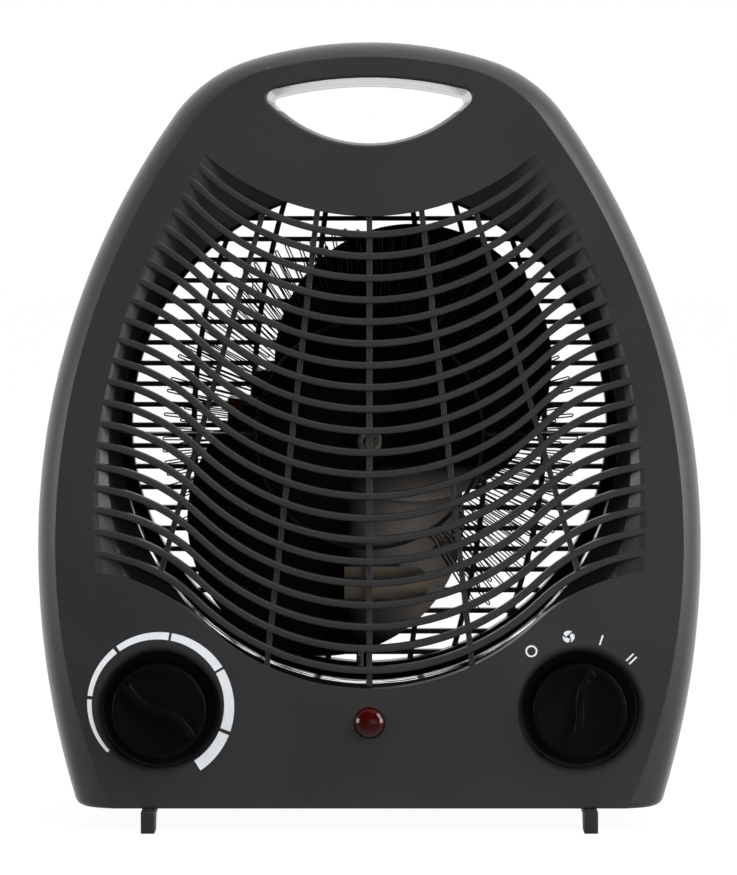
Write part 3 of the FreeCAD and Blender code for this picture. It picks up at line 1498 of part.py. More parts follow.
body = new_body("cord_gland", size.gland_offset, inner_back_y - size.gland_fit - size.gland_flange_sheet,
                size.gland_height, BACKWARD)
half_neck = size.gland_width / 2 - size.gland_fit
half_flange = size.gland_width / 2 + size.gland_flange
neck_top = size.gland_top - size.gland_fit
neck_low = size.gland_height - size.ground_gap
flange_low = size.gland_height - size.ground_gap - size.wall - size.cavity_step - size.gland_fit
levels = [
    (0, size.gland_flange_sheet, half_flange, neck_top + size.gland_flange, flange_low),
    (size.gland_flange_sheet, size.wall + size.gland_fit * 2, half_neck, neck_top, neck_low),
    (size.gland_flange_sheet + size.wall + size.gland_fit * 2, size.gland_flange_sheet, half_flange,
     neck_top + size.gland_flange, neck_low),
]
for step, (start, thickness, half_wide, high, low) in enumerate(levels):
    plate = new_sketch(body, "gland_plate_%d" % step, start)
    rectangle(plate, -half_wide, half_wide, -high, low)
    pad(body, plate, thickness, "gland_layer_%d" % step)
nose_start = size.gland_flange_sheet * 2 + size.wall + size.gland_fit * 2
nose = new_sketch(body, "gland_nose", nose_start)
circle(nose, size.gland_nose_radius)
pad(body, nose, size.gland_nose_length, "gland_nose_pad")
hole = new_sketch(body, "gland_bore", nose_start + size.gland_nose_length)
circle(hole, size.gland_bore_radius)
pocket(body, hole, nose_start + size.gland_nose_length, "gland_bore_pocket")
keep("cord_gland", body)

# Checks and files

doc.recompute()
for item in doc.Objects:
    if "Invalid" in item.State or "Error" in item.State:
        raise RuntimeError("%s is not valid: %s" % (item.Name, item.State))
os.makedirs("parts", exist_ok=True)
for label, item in PIECES.items():
    if item.Shape.isNull() or not item.Shape.isValid() or not item.Shape.Solids:
        raise RuntimeError("%s has no valid shape" % label)
    item.Shape.exportStep("parts/%s.step" % label)
    print("%-20s solids %d faces %4d volume %10.1f" % (label, len(item.Shape.Solids), len(item.Shape.Faces),
                                                       item.Shape.Volume))
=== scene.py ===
"""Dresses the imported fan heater: finishes, printed scales, fine heating wires and studio."""

import logging
import math
from collections.abc import Callable
from dataclasses import dataclass
from enum import Enum

import bpy
from mathutils import Euler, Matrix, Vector


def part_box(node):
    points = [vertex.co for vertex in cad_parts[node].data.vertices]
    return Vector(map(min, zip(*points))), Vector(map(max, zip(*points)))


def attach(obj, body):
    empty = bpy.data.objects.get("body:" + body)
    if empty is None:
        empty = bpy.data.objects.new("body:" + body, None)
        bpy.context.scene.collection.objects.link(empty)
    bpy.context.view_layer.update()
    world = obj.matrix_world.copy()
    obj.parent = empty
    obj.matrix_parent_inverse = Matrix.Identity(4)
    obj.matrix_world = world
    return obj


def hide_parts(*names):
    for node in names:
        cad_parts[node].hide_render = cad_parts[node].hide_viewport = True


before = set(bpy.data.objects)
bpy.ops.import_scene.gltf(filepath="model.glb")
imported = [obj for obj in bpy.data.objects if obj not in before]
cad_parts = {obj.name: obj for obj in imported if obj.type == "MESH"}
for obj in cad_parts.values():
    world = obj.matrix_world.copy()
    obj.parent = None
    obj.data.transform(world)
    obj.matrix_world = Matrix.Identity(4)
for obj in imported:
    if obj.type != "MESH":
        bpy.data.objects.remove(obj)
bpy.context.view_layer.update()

log = logging.getLogger("fan_heater")
logging.basicConfig(level=logging.INFO, format="%(name)s: %(message)s")

Triple = tuple[float, float, float]
Colour = Triple
Span = tuple[float, float]
Socket = bpy.types.NodeSocket

EVEN: Triple = (1.0, 1.0, 1.0)
WHITE = (1.0, 1.0, 1.0, 1.0)
# Turn that stands a flat primitive up in the XZ plane.
UPRIGHT: Triple = (math.radians(90), 0, 0)
# Most of a noise texture's values lie in this range.
NOISE_RANGE: Span = (0.3, 0.7)
FINE_DETAIL = 2.0
PLAIN_DETAIL = 3.0
RICH_DETAIL = 4.0
EDGE_SAMPLES = 6
# Width of one band of the wave texture at scale 1.
BAND_WIDTH = 0.3141593


class Body(Enum):
    """Moving groups of the heater."""

    HOUSING = "housing"
    FAN = "fan"
    THERMOSTAT = "thermostat_dial"
    SWITCH = "switch_dial"


def scaled(colour: Colour, factor: float) -> Colour:
    """Makes a colour darker or lighter."""
    return tuple(value * factor for value in colour)


class Tree:
    """Node tree with short calls to add and join nodes."""

    def __init__(self, tree: bpy.types.NodeTree) -> None:
        """Takes the tree that the nodes go into."""
        self.tree = tree

    def node(self, kind: str, **values: object) -> bpy.types.Node:
        """Adds a node and sets its inputs or properties.

        Args:
            kind: node type without its ShaderNode prefix.
            values: input or property values, by name with underscores for spaces.

        Returns:
            The new node.
        """
        made = self.tree.nodes.new("ShaderNode" + kind)
        for key, value in values.items():
            title = key.replace("_", " ")
            if title in made.inputs:
                made.inputs[title].default_value = value
            else:
                setattr(made, key, value)
        return made

    def link(self, source: Socket, target: Socket) -> None:
        """Joins an output to an input."""
        self.tree.links.new(source, target)


class Graph(Tree):
    """Node tree of one material, built round its shader."""

    def __init__(self, name: str) -> None:
        """Starts a material that has only its shader.

        Args:
            name: name of the material.
        """
        self.material = bpy.data.materials.new(name)
        self.material.use_nodes = True
        super().__init__(self.material.node_tree)
        self.shader = self.tree.nodes["Principled BSDF"]
        self.output = self.tree.nodes["Material Output"]

    def fix(self, title: str, value: object) -> None:
        """Sets an input of the shader to a constant."""
        self.shader.inputs[title].default_value = value

    def feed(self, title: str, source: Socket) -> None:
        """Joins a value to an input of the shader."""
        self.link(source, self.shader.inputs[title])

    def place(self, stretch: Triple = EVEN) -> Socket:
        """Object coordinates, stretched along each axis.

        Args:
            stretch: scale of the coordinates along X, Y and Z.

        Returns:
            The vector socket that textures read.
        """
        coordinates = self.node("TexCoord")
        mapping = self.node("Mapping", Scale=stretch)
        self.link(coordinates.outputs["Object"], mapping.inputs["Vector"])
        return mapping.outputs["Vector"]

    def axes(self) -> tuple[Socket, Socket, Socket]:
        """Object coordinates along X, Y and Z."""
        split = self.node("SeparateXYZ")
        self.link(self.place(), split.inputs["Vector"])
        return split.outputs["X"], split.outputs["Y"], split.outputs["Z"]

    def noise(self, grain: float, detail: float = PLAIN_DETAIL, stretch: Triple = EVEN) -> Socket:
        """Noise whose features are about one grain wide.

        Args:
            grain: size of a feature in metres.
            detail: number of finer layers.
            stretch: scale of the pattern along each axis.

        Returns:
            The noise value.
        """
        texture = self.node("TexNoise", Scale=1.0 / grain, Detail=detail)
        self.link(self.place(stretch), texture.inputs["Vector"])
        return texture.outputs["Fac"]

    def remap(self, value: Socket, source: Span, target: Span) -> Socket:
        """Maps one range to another and holds the value at its ends.

        Args:
            value: value that is followed.
            source: values that map to the ends of the target.
            target: results at those values.

        Returns:
            The mapped value.
        """
        ranged = self.node("MapRange", From_Min=source[0], From_Max=source[1],
                           To_Min=target[0], To_Max=target[1])
        self.link(value, ranged.inputs["Value"])
        return ranged.outputs["Result"]

    def spread(self, value: Socket, low: float, high: float) -> Socket:
        """Maps the middle of a noise to a range."""
        return self.remap(value, NOISE_RANGE, (low, high))

    def fade(self, value: Socket, start: float, end: float) -> Socket:
        """Goes from 0 where a value is at the start to 1 where it is at the end."""
        return self.remap(value, (start, end), (0.0, 1.0))

    def math(self, operation: str, first: Socket, second: Socket | float = 0.0) -> Socket:
        """Works out one step of arithmetic.

        Args:
            operation: name of the step.
            first: first value.
            second: second value, or a number.

        Returns:
            The result.
        """
        step = self.node("Math", operation=operation)
        self.link(first, step.inputs[0])
        if isinstance(second, float):
            step.inputs[1].default_value = second
        else:
            self.link(second, step.inputs[1])
        return step.outputs["Value"]

    def product(self, first: Socket, *others: Socket) -> Socket:
        """Multiplies masks, so that the result is where they all are."""
        for other in others:
            first = self.math("MULTIPLY", first, other)
        return first

    def tint(self, value: Socket, first: Colour, second: Colour) -> None:
        """Colours the shader between two tones.

        Args:
            value: noise value that picks the tone.
            first: tone for low values.
            second: tone for high values.
        """
        ramp = self.node("ValToRGB")
        for element, position, tone in zip(ramp.color_ramp.elements, NOISE_RANGE, (first, second)):
            element.position = position
            element.color = (*tone, 1.0)
        self.link(value, ramp.inputs["Fac"])
        self.feed("Base Color", ramp.outputs["Color"])

    def shade(self, factor: Socket) -> None:
        """Multiplies the colour that the shader has so far."""
        shaded = self.node("VectorMath", operation="SCALE")
        self.link(self.shader.inputs["Base Color"].links[0].from_socket, shaded.inputs[0])
        self.link(factor, shaded.inputs["Scale"])
        self.feed("Base Color", shaded.outputs["Vector"])

    def relief(self, value: Socket, depth: float, edge: float = 0.0) -> None:
        """Gives the surface a fine relief, and softens its edges.

        Args:
            value: height of the relief, from 0 to 1.
            depth: real depth of the relief in metres.
            edge: radius of softened edges in metres.
        """
        bump = self.node("Bump", Strength=1.0, Distance=depth)
        self.link(value, bump.inputs["Height"])
        if edge > 0.0:
            rounding = self.node("Bevel", Radius=edge)
            rounding.samples = EDGE_SAMPLES
            self.link(rounding.outputs["Normal"], bump.inputs["Normal"])
        self.feed("Normal", bump.outputs["Normal"])


@dataclass(frozen=True)
class MouldedPlastic:
    """Moulded plastic with a fine spark-eroded grain."""

    name: str
    colour: Colour
    roughness: float = 0.42
    grain: float = 0.0005
    depth: float = 0.000012
    edge: float = 0.0004
    shine: float = 0.5
    mottle: float = 0.03
    tones: Span = (0.9, 1.1)
    wear: float = 0.012
    smoother: float = 0.04
    rougher: float = 0.05

    def material(self) -> bpy.types.Material:
        """Makes the material."""
        graph = Graph(self.name)
        graph.fix("Specular IOR Level", self.shine)
        graph.tint(graph.noise(self.mottle, RICH_DETAIL),
                   *(scaled(self.colour, tone) for tone in self.tones))
        graph.feed("Roughness", graph.spread(graph.noise(self.wear),
                                             self.roughness - self.smoother,
                                             self.roughness + self.rougher))
        graph.relief(graph.noise(self.grain, FINE_DETAIL), self.depth, self.edge)
        return graph.material


@dataclass(frozen=True)
class ShellPlastic:
    """Plastic of the case: satin face, smoother sides, polished grip, painted shadow in control
    wells.
    """

    name: str
    colour: Colour
    face_roughness: float = 0.4
    roll_roughness: float = 0.3
    grip_roughness: float = 0.14
    face_y: float = -0.05
    crown_height: float = 0.075
    crown_diameter: float = 3.0
    roll_start: float = 0.0012
    roll_full: float = 0.004
    grip_reach: float = 0.037
    grip_foot: float = 0.2285
    grip_top: float = 0.2405
    grip_slope: float = 0.12
    grip_back: float = 0.035
    well_x: float = 0.0666
    well_z: float = 0.0384
    well_radius: float = 0.0186
    well_core: float = 0.95
    well_back: float = -0.01
    # Share of the colour taken away in the wells: painted shadow.
    well_painted_shadow: float = 0.88
    well_dulling: float = 0.45
    mottle: float = 0.03
    tones: Span = (0.9, 1.1)
    wear: float = 0.012
    smoother: float = 0.015
    rougher: float = 0.02
    grain: float = 0.0005
    depth: float = 0.000012
    edge: float = 0.0003

    def shadowed_well_mask(self, graph: Graph, across: Socket, y: Socket, z: Socket) -> Socket:
        """Marks the two wells that the knobs sit in, where shadow is painted into the colour.

        Args:
            graph: material that is built.
            across: distance from the middle plane.
            y: depth.
            z: height.

        Returns:
            The mask.
        """
        beside = graph.math("SUBTRACT", across, self.well_x)
        above = graph.math("SUBTRACT", z, self.well_z)
        reach = graph.math("ADD", graph.product(beside, beside), graph.product(above, above))
        shadowed_well = graph.fade(reach, self.well_radius ** 2, (self.well_radius * self.well_core) ** 2)
        return graph.product(shadowed_well, graph.math("LESS_THAN", y, self.well_back))

    def behind_mask(self, graph: Graph, y: Socket, z: Socket) -> Socket:
        """Marks all that lies behind the crowned face.

        Args:
            graph: material that is built.
            y: depth.
            z: height.

        Returns:
            The mask.
        """
        climb = graph.math("SUBTRACT", z, self.crown_height)
        crown = graph.math("DIVIDE", graph.product(climb, climb), self.crown_diameter)
        depth = graph.math("SUBTRACT", graph.math("SUBTRACT", y, self.face_y), crown)
        return graph.fade(depth, self.roll_start, self.roll_full)

    def grip_mask(self, graph: Graph, across: Socket, y: Socket, z: Socket) -> Socket:
        """Marks the ceiling of the handle opening.

        Args:
            graph: material that is built.
            across: distance from the middle plane.
            y: depth.
            z: height.

        Returns:
            The mask.
        """
        ceiling = graph.math("ADD", z, graph.math("MULTIPLY", across, self.grip_slope))
        return graph.product(graph.math("LESS_THAN", across, self.grip_reach),
                             graph.math("GREATER_THAN", z, self.grip_foot),
                             graph.math("LESS_THAN", ceiling, self.grip_top),
                             graph.math("LESS_THAN", y, self.grip_back))

    def material(self) -> bpy.types.Material:
        """Makes the material."""
        graph = Graph(self.name)
        x, y, z = graph.axes()
        across = graph.math("ABSOLUTE", x)
        shadowed_well = self.shadowed_well_mask(graph, across, y, z)
        behind = self.behind_mask(graph, y, z)
        grip = graph.product(self.grip_mask(graph, across, y, z), behind)
        rough = graph.spread(graph.noise(self.wear), self.face_roughness - self.smoother,
                             self.face_roughness + self.rougher)
        for mask, change in ((behind, self.roll_roughness - self.face_roughness),
                             (shadowed_well, self.well_dulling),
                             (grip, self.grip_roughness - self.roll_roughness)):
            rough = graph.math("ADD", rough, graph.math("MULTIPLY", mask, change))
        graph.feed("Roughness", rough)
        graph.tint(graph.noise(self.mottle, RICH_DETAIL),
                   *(scaled(self.colour, tone) for tone in self.tones))
        # Painted shadow: the colour in the knob wells is darkened by the well mask.
        graph.shade(graph.math("ADD", graph.math("MULTIPLY", shadowed_well, -self.well_painted_shadow), 1.0))
        graph.relief(graph.noise(self.grain, FINE_DETAIL), self.depth, self.edge)
        return graph.material


@dataclass(frozen=True)
class BladeMetal:
    """Fan sheet: a painted highlight patch on one blade beside the hub, painted shade elsewhere.
    """

    name: str
    warm: Colour
    cool: Colour
    # Colour factor outside the patch: painted shade.
    painted_shade: float = 0.005
    sheen: float = 0.2
    left: Span = (-0.007, 0.016)
    top: Span = (0.114, 0.094)
    foot: Span = (0.056, 0.07)
    shine: float = 0.12
    roughness: Span = (0.26, 0.4)
    wear: float = 0.006
    patch: float = 0.012
    patch_shape: Triple = (1.0, 1.0, 0.4)
    brush: float = 0.0004
    brush_shape: Triple = (1.0, 1.0, 0.06)
    brush_depth: float = 0.000004

    def material(self) -> bpy.types.Material:
        """Makes the material."""
        graph = Graph(self.name)
        x, _, z = graph.axes()
        # Painted highlight: a bright patch on one blade; the rest is darkened as painted shade.
        bare = graph.product(graph.fade(x, *self.left), graph.fade(z, *self.top),
                             graph.fade(z, *self.foot))
        graph.tint(graph.noise(self.patch, PLAIN_DETAIL, self.patch_shape), self.warm, self.cool)
        graph.shade(graph.math("MAXIMUM", bare, self.painted_shade))
        graph.feed("Metallic", graph.math("MULTIPLY", bare, self.sheen))
        graph.fix("Specular IOR Level", self.shine)
        graph.feed("Roughness", graph.spread(graph.noise(self.wear, RICH_DETAIL), *self.roughness))
        graph.relief(graph.noise(self.brush, FINE_DETAIL, self.brush_shape), self.brush_depth)
        return graph.material


@dataclass(frozen=True)
class SheetMetal:
    """Rolled or ground metal with fine lines along one direction."""

    name: str
    colour: Colour
    roughness: float = 0.28
    lines: Triple = (1.0, 0.05, 1.0)
    grain: float = 0.0004
    depth: float = 0.000004
    stain: float = 0.018
    stain_detail: float = 5.0
    stain_tone: float = 0.86
    wear: float = 0.006
    smoother: float = 0.06
    rougher: float = 0.1

    def material(self) -> bpy.types.Material:
        """Makes the material."""
        graph = Graph(self.name)
        graph.fix("Metallic", 1.0)
        graph.tint(graph.noise(self.stain, self.stain_detail),
                   scaled(self.colour, self.stain_tone), self.colour)
        graph.feed("Roughness", graph.spread(graph.noise(self.wear, RICH_DETAIL),
                                             self.roughness - self.smoother,
                                             self.roughness + self.rougher))
        graph.relief(graph.noise(self.grain, FINE_DETAIL, self.lines), self.depth)
        return graph.material


@dataclass(frozen=True)
class ShieldSheet:
    """Thin tinned sheet: bare metal on its front rim and in low streaks, near black painted shade
    elsewhere.
    """

    name: str
    bright: Colour
    painted_shade_black: Colour
    rim: Span
    streak_height: Span
    streak_depth: Span = (-0.017, -0.024)
    streak_size: float = 0.006
    streak_shape: Triple = (0.3, 2.2, 0.3)
    streak_edge: Span = (0.42, 0.5)
    roughness: Span = (0.05, 0.12)
    wear: float = 0.004
    dent: float = 0.003
    dent_shape: Triple = (1.0, 0.2, 1.0)
    dent_depth: float = 0.00002

    def material(self) -> bpy.types.Material:
        """Makes the material."""
        graph = Graph(self.name)
        graph.fix("Specular IOR Level", 0.0)
        _, y, z = graph.axes()
        low = graph.product(graph.fade(z, *self.streak_height), graph.fade(y, *self.streak_depth))
        worn = graph.fade(graph.noise(self.streak_size, PLAIN_DETAIL, self.streak_shape),
                          *self.streak_edge)
        shine = graph.math("MAXIMUM", graph.fade(y, *self.rim), graph.product(low, worn))
        # Painted shade: away from the rim and streaks the sheet is coloured near black.
        graph.tint(shine, self.painted_shade_black, self.bright)
        graph.feed("Metallic", shine)
        graph.feed("Roughness", graph.spread(graph.noise(self.wear), *self.roughness))
        graph.relief(graph.noise(self.dent, FINE_DETAIL, self.dent_shape), self.dent_depth)
        return graph.material


@dataclass(frozen=True)
class OxideSkin:
    """Dull oxide skin of a wire that glows in use."""

    name: str
    first: Colour
    second: Colour
    shine: float = 0.25
    mottle: float = 0.006
    roughness: Span = (0.5, 0.7)
    wear: float = 0.002
    grain: float = 0.0003
    depth: float = 0.000006

    def material(self) -> bpy.types.Material:
        """Makes the material."""
        graph = Graph(self.name)
        graph.tint(graph.noise(self.mottle, RICH_DETAIL), self.first, self.second)
        graph.fix("Specular IOR Level", self.shine)
        graph.feed("Roughness", graph.spread(graph.noise(self.wear), *self.roughness))
        graph.relief(graph.noise(self.grain, FINE_DETAIL), self.depth)
        return graph.material


@dataclass(frozen=True)
class MicaSheet:
    """Pressed mica flakes with a silky sheen."""

    name: str
    first: Colour
    second: Colour
    flake: float = 0.003
    roughness: float = 0.35
    depth: float = 0.00003

    def material(self) -> bpy.types.Material:
        """Makes the material."""
        graph = Graph(self.name)
        flakes = graph.node("TexVoronoi", Scale=1.0 / self.flake)
        graph.link(graph.place(), flakes.inputs["Vector"])
        graph.tint(flakes.outputs["Distance"], self.first, self.second)
        graph.fix("Roughness", self.roughness)
        graph.relief(flakes.outputs["Distance"], self.depth)
        return graph.material


@dataclass(frozen=True)
class Striped:
    """Surface of stacked sheets or wound wire: fine stripes across one axis."""

    name: str
    first: Colour
    second: Colour
    pitch: float
    axis: str
    metallic: float
    roughness: float
    waver: float = 0.4
    depth_share: float = 0.3

    def material(self) -> bpy.types.Material:
        """Makes the material."""
        graph = Graph(self.name)
        graph.fix("Metallic", self.metallic)
        graph.fix("Roughness", self.roughness)
        stripes = graph.node("TexWave", Scale=BAND_WIDTH / self.pitch, Distortion=self.waver,
                             Detail=1.0)
        stripes.bands_direction = self.axis
        graph.link(graph.place(), stripes.inputs["Vector"])
        graph.tint(stripes.outputs["Fac"], self.first, self.second)
        graph.relief(stripes.outputs["Fac"], self.pitch * self.depth_share)
        return graph.material


@dataclass(frozen=True)
class ClearPlastic:
    """Clear tinted plastic or glass of the indicator."""

    name: str
    colour: Colour
    darker: float = 0.8
    mottle: float = 0.002
    roughness: float = 0.12
    clearness: float = 0.35
    refraction: float = 1.49
    ripple: float = 0.0015
    depth: float = 0.00001

    def material(self) -> bpy.types.Material:
        """Makes the material."""
        graph = Graph(self.name)
        graph.tint(graph.noise(self.mottle), scaled(self.colour, self.darker), self.colour)
        graph.fix("Roughness", self.roughness)
        graph.fix("Transmission Weight", self.clearness)
        graph.fix("IOR", self.refraction)
        graph.relief(graph.noise(self.ripple), self.depth)
        return graph.material


@dataclass(frozen=True)
class PrintInk:
    """Pad-printed ink with slightly uneven cover."""

    name: str
    colour: Colour
    thinner: float = 0.9
    mottle: float = 0.0008
    roughness: float = 0.5
    grain: float = 0.0004
    depth: float = 0.000006

    def material(self) -> bpy.types.Material:
        """Makes the material."""
        graph = Graph(self.name)
        graph.tint(graph.noise(self.mottle), scaled(self.colour, self.thinner), self.colour)
        graph.fix("Roughness", self.roughness)
        graph.relief(graph.noise(self.grain), self.depth)
        return graph.material


CHARCOAL = ShellPlastic("charcoal_plastic", (0.026, 0.026, 0.027))
KNOB_BLACK = MouldedPlastic("knob_black", (0.002, 0.002, 0.002), roughness=0.34, grain=0.0006,
                            depth=0.000006, edge=0.0003, shine=0.12)
FOOT_BLACK = MouldedPlastic("foot_black", (0.014, 0.014, 0.014), 0.55)
BAKELITE = MouldedPlastic("bakelite", (0.035, 0.022, 0.015), 0.35)
HOLDER_BLACK = MouldedPlastic("holder_black", (0.02, 0.02, 0.02), 0.5)
NATURAL_NYLON = MouldedPlastic("natural_nylon", (0.6, 0.56, 0.46), 0.45)
GLAND_RUBBER = MouldedPlastic("gland_rubber", (0.012, 0.012, 0.012), 0.65)
TINNED = ShieldSheet("tinned_steel", bright=(0.92, 0.91, 0.9), painted_shade_black=(0.008, 0.008, 0.008),
                     rim=(-0.035, -0.0375), streak_height=(0.105, 0.09))
ZINC = SheetMetal("zinc_steel", (0.6, 0.6, 0.58), 0.34)
GROUND_STEEL = SheetMetal("ground_steel", (0.62, 0.62, 0.63), 0.2)
# Warm and cool tones of the painted highlight patch on the fan blade.
FAN_METAL = BladeMetal("fan_metal", warm=(0.84, 0.72, 0.62), cool=(0.7, 0.7, 0.71))
BRONZE = SheetMetal("sintered_bronze", (0.45, 0.3, 0.14), 0.5)
NICHROME = OxideSkin("nichrome", (0.004, 0.004, 0.0045), (0.014, 0.01, 0.008))
BIMETAL = SheetMetal("bimetal", (0.5, 0.46, 0.4), 0.32)
MICA = MicaSheet("mica", (0.006, 0.005, 0.004), (0.016, 0.013, 0.01))
LAMINATIONS = Striped("laminations", (0.1, 0.1, 0.1), (0.3, 0.3, 0.3), pitch=0.0005, axis="Y",
                      metallic=1.0, roughness=0.45)
WINDING = Striped("copper_winding", (0.24, 0.07, 0.02), (0.55, 0.2, 0.06), pitch=0.00035, axis="Z",
                  metallic=0.6, roughness=0.35)
LENS_RED = ClearPlastic("lens_red", (0.06, 0.001, 0.0018))
BULB_GLASS = ClearPlastic("bulb_glass", (0.7, 0.45, 0.35))
INK = PrintInk("scale_ink", (0.86, 0.9, 0.94))

NODE_FINISHES = {
    CHARCOAL: ("front_shell", "rear_shell"),
    KNOB_BLACK: ("thermostat_knob", "switch_knob"),
    FOOT_BLACK: ("left_foot", "right_foot"),
    BAKELITE: ("thermostat_body", "switch_body"),
    HOLDER_BLACK: ("lamp_holder", "thermal_cutout"),
    NATURAL_NYLON: ("coil_bobbin",),
    GLAND_RUBBER: ("cord_gland",),
    TINNED: ("heat_shield",),
    ZINC: ("case_screws", "motor_screws", "control_screws", "front_bracket", "rear_bracket",
           "fan_nut"),
    GROUND_STEEL: ("motor_shaft", "motor_rotor", "thermostat_shaft", "switch_shaft",
                   "thermal_fuse"),
    FAN_METAL: ("fan_impeller",),
    BRONZE: ("front_bearing", "rear_bearing"),
    NICHROME: ("heating_wire_front", "heating_wire_rear"),
    BIMETAL: ("cutout_strip",),
    MICA: ("mica_hoop", "mica_arms"),
    LAMINATIONS: ("stator_core",),
    WINDING: ("motor_coil",),
    LENS_RED: ("indicator_lens",),
    BULB_GLASS: ("indicator_bulb",),
}


def start_object(name: str) -> bpy.types.Object:
    """Takes the object that is active now as a piece under a name."""
    piece = bpy.context.active_object
    piece.name = name
    piece.data.name = name
    return piece


def deselect() -> None:
    """Leaves nothing selected before the next operator."""
    if bpy.context.mode != "OBJECT":
        bpy.ops.object.mode_set(mode="OBJECT")
    bpy.ops.object.select_all(action="DESELECT")


def activate(piece: bpy.types.Object) -> None:
    """Makes a piece the active one and selects nothing else."""
    deselect()
    piece.select_set(True)
    bpy.context.view_layer.objects.active = piece


def settle(piece: bpy.types.Object) -> None:
    """Puts a piece's place, turn and scale into its mesh."""
    activate(piece)
    bpy.ops.object.transform_apply(location=True, rotation=True, scale=True)


def open_mesh() -> None:
    """Opens the active piece for editing, with all of it selected."""
    bpy.ops.object.mode_set(mode="EDIT")
    bpy.ops.mesh.select_mode(type="VERT")
    bpy.ops.mesh.select_all(action="SELECT")


def close_mesh() -> None:
    """Ends the editing of the active piece."""
    bpy.ops.object.mode_set(mode="OBJECT")


def grow_rim(factor: float) -> None:
    """Extrudes the selected ring and makes the new ring larger about the origin."""
    bpy.ops.mesh.extrude_region_move()
    bpy.ops.transform.resize(value=(factor, factor, factor), center_override=(0, 0, 0))


def delete_faces(piece: bpy.types.Object,
                 unwanted: Callable[[bpy.types.MeshPolygon], bool]) -> None:
    """Deletes some faces of the active piece.

    Args:
        piece: the active piece.
        unwanted: tells of a face whether it goes.
    """
    bpy.ops.object.mode_set(mode="EDIT")
    bpy.ops.mesh.select_mode(type="FACE")
    bpy.ops.mesh.select_all(action="DESELECT")
    close_mesh()
    for polygon in piece.data.polygons:
        polygon.select = unwanted(polygon)
    bpy.ops.object.mode_set(mode="EDIT")
    bpy.ops.mesh.delete(type="FACE")
    close_mesh()


def apply_modifiers(piece: bpy.types.Object) -> None:
    """Applies all modifiers of a piece."""
    activate(piece)
    for modifier in list(piece.modifiers):
        bpy.ops.object.modifier_apply(modifier=modifier.name)


def join(pieces: list[bpy.types.Object], name: str) -> bpy.types.Object:
    """Joins pieces into one mesh.

    Args:
        pieces: pieces to join.
        name: name of the result.

    Returns:
        The joined piece.
    """
    activate(pieces[0])
    for piece in pieces:
        piece.select_set(True)
    bpy.ops.object.join()
    return start_object(name)


def smooth(piece: bpy.types.Object, degrees: float = 35.0) -> None:
    """Shades a piece smooth except over sharp edges."""
    activate(piece)
    bpy.ops.object.shade_smooth_by_angle(angle=math.radians(degrees))


def clock_angle(place: Vector) -> float:
    """Angle of a place round the origin in degrees, clockwise from the top."""
    return math.degrees(math.atan2(place.x, place.z))


def finish_piece(piece: bpy.types.Object, material: bpy.types.Material, body: Body, slot: str,
                 stands_for: tuple[str, ...] = ()) -> None:
    """Dresses a new piece and hangs it on its body.

    Args:
        piece: finished mesh.
        material: its material.
        body: body that carries it.
        slot: not used.
        stands_for: nodes that it replaces.
    """
    piece.data.materials.clear()
    piece.data.materials.append(material)
    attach(piece, body.value)
    if stands_for:
        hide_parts(*stands_for)
    log.info("%s on %s", piece.name, body.value)


@dataclass
class FrontFace:
    """Gently crowned front face that the printed scales lie on."""

    depth: float = 0.05
    crown_radius: float = 1.5
    crown_height: float = 0.075
    ink: float = 0.00008

    def y(self, height: float) -> float:
        """Place of the face along Y at a height."""
        fall = math.sqrt(self.crown_radius ** 2 - (height - self.crown_height) ** 2)
        return self.crown_radius - self.depth - fall

    def lay(self, piece: bpy.types.Object) -> None:
        """Lays a flat drawing on the face, with half the ink's thickness on each side of it.

        Args:
            piece: flat mesh in the XZ plane.
        """
        for vertex in piece.data.vertices:
            vertex.co.y = self.y(vertex.co.z)
        activate(piece)
        open_mesh()
        bpy.ops.mesh.normals_make_consistent(inside=False)
        close_mesh()
        if piece.data.polygons[0].normal.y > 0:
            piece.data.flip_normals()
        thickness = piece.modifiers.new("ink", "SOLIDIFY")
        thickness.thickness = self.ink * 2
        thickness.offset = 0.0
        apply_modifiers(piece)


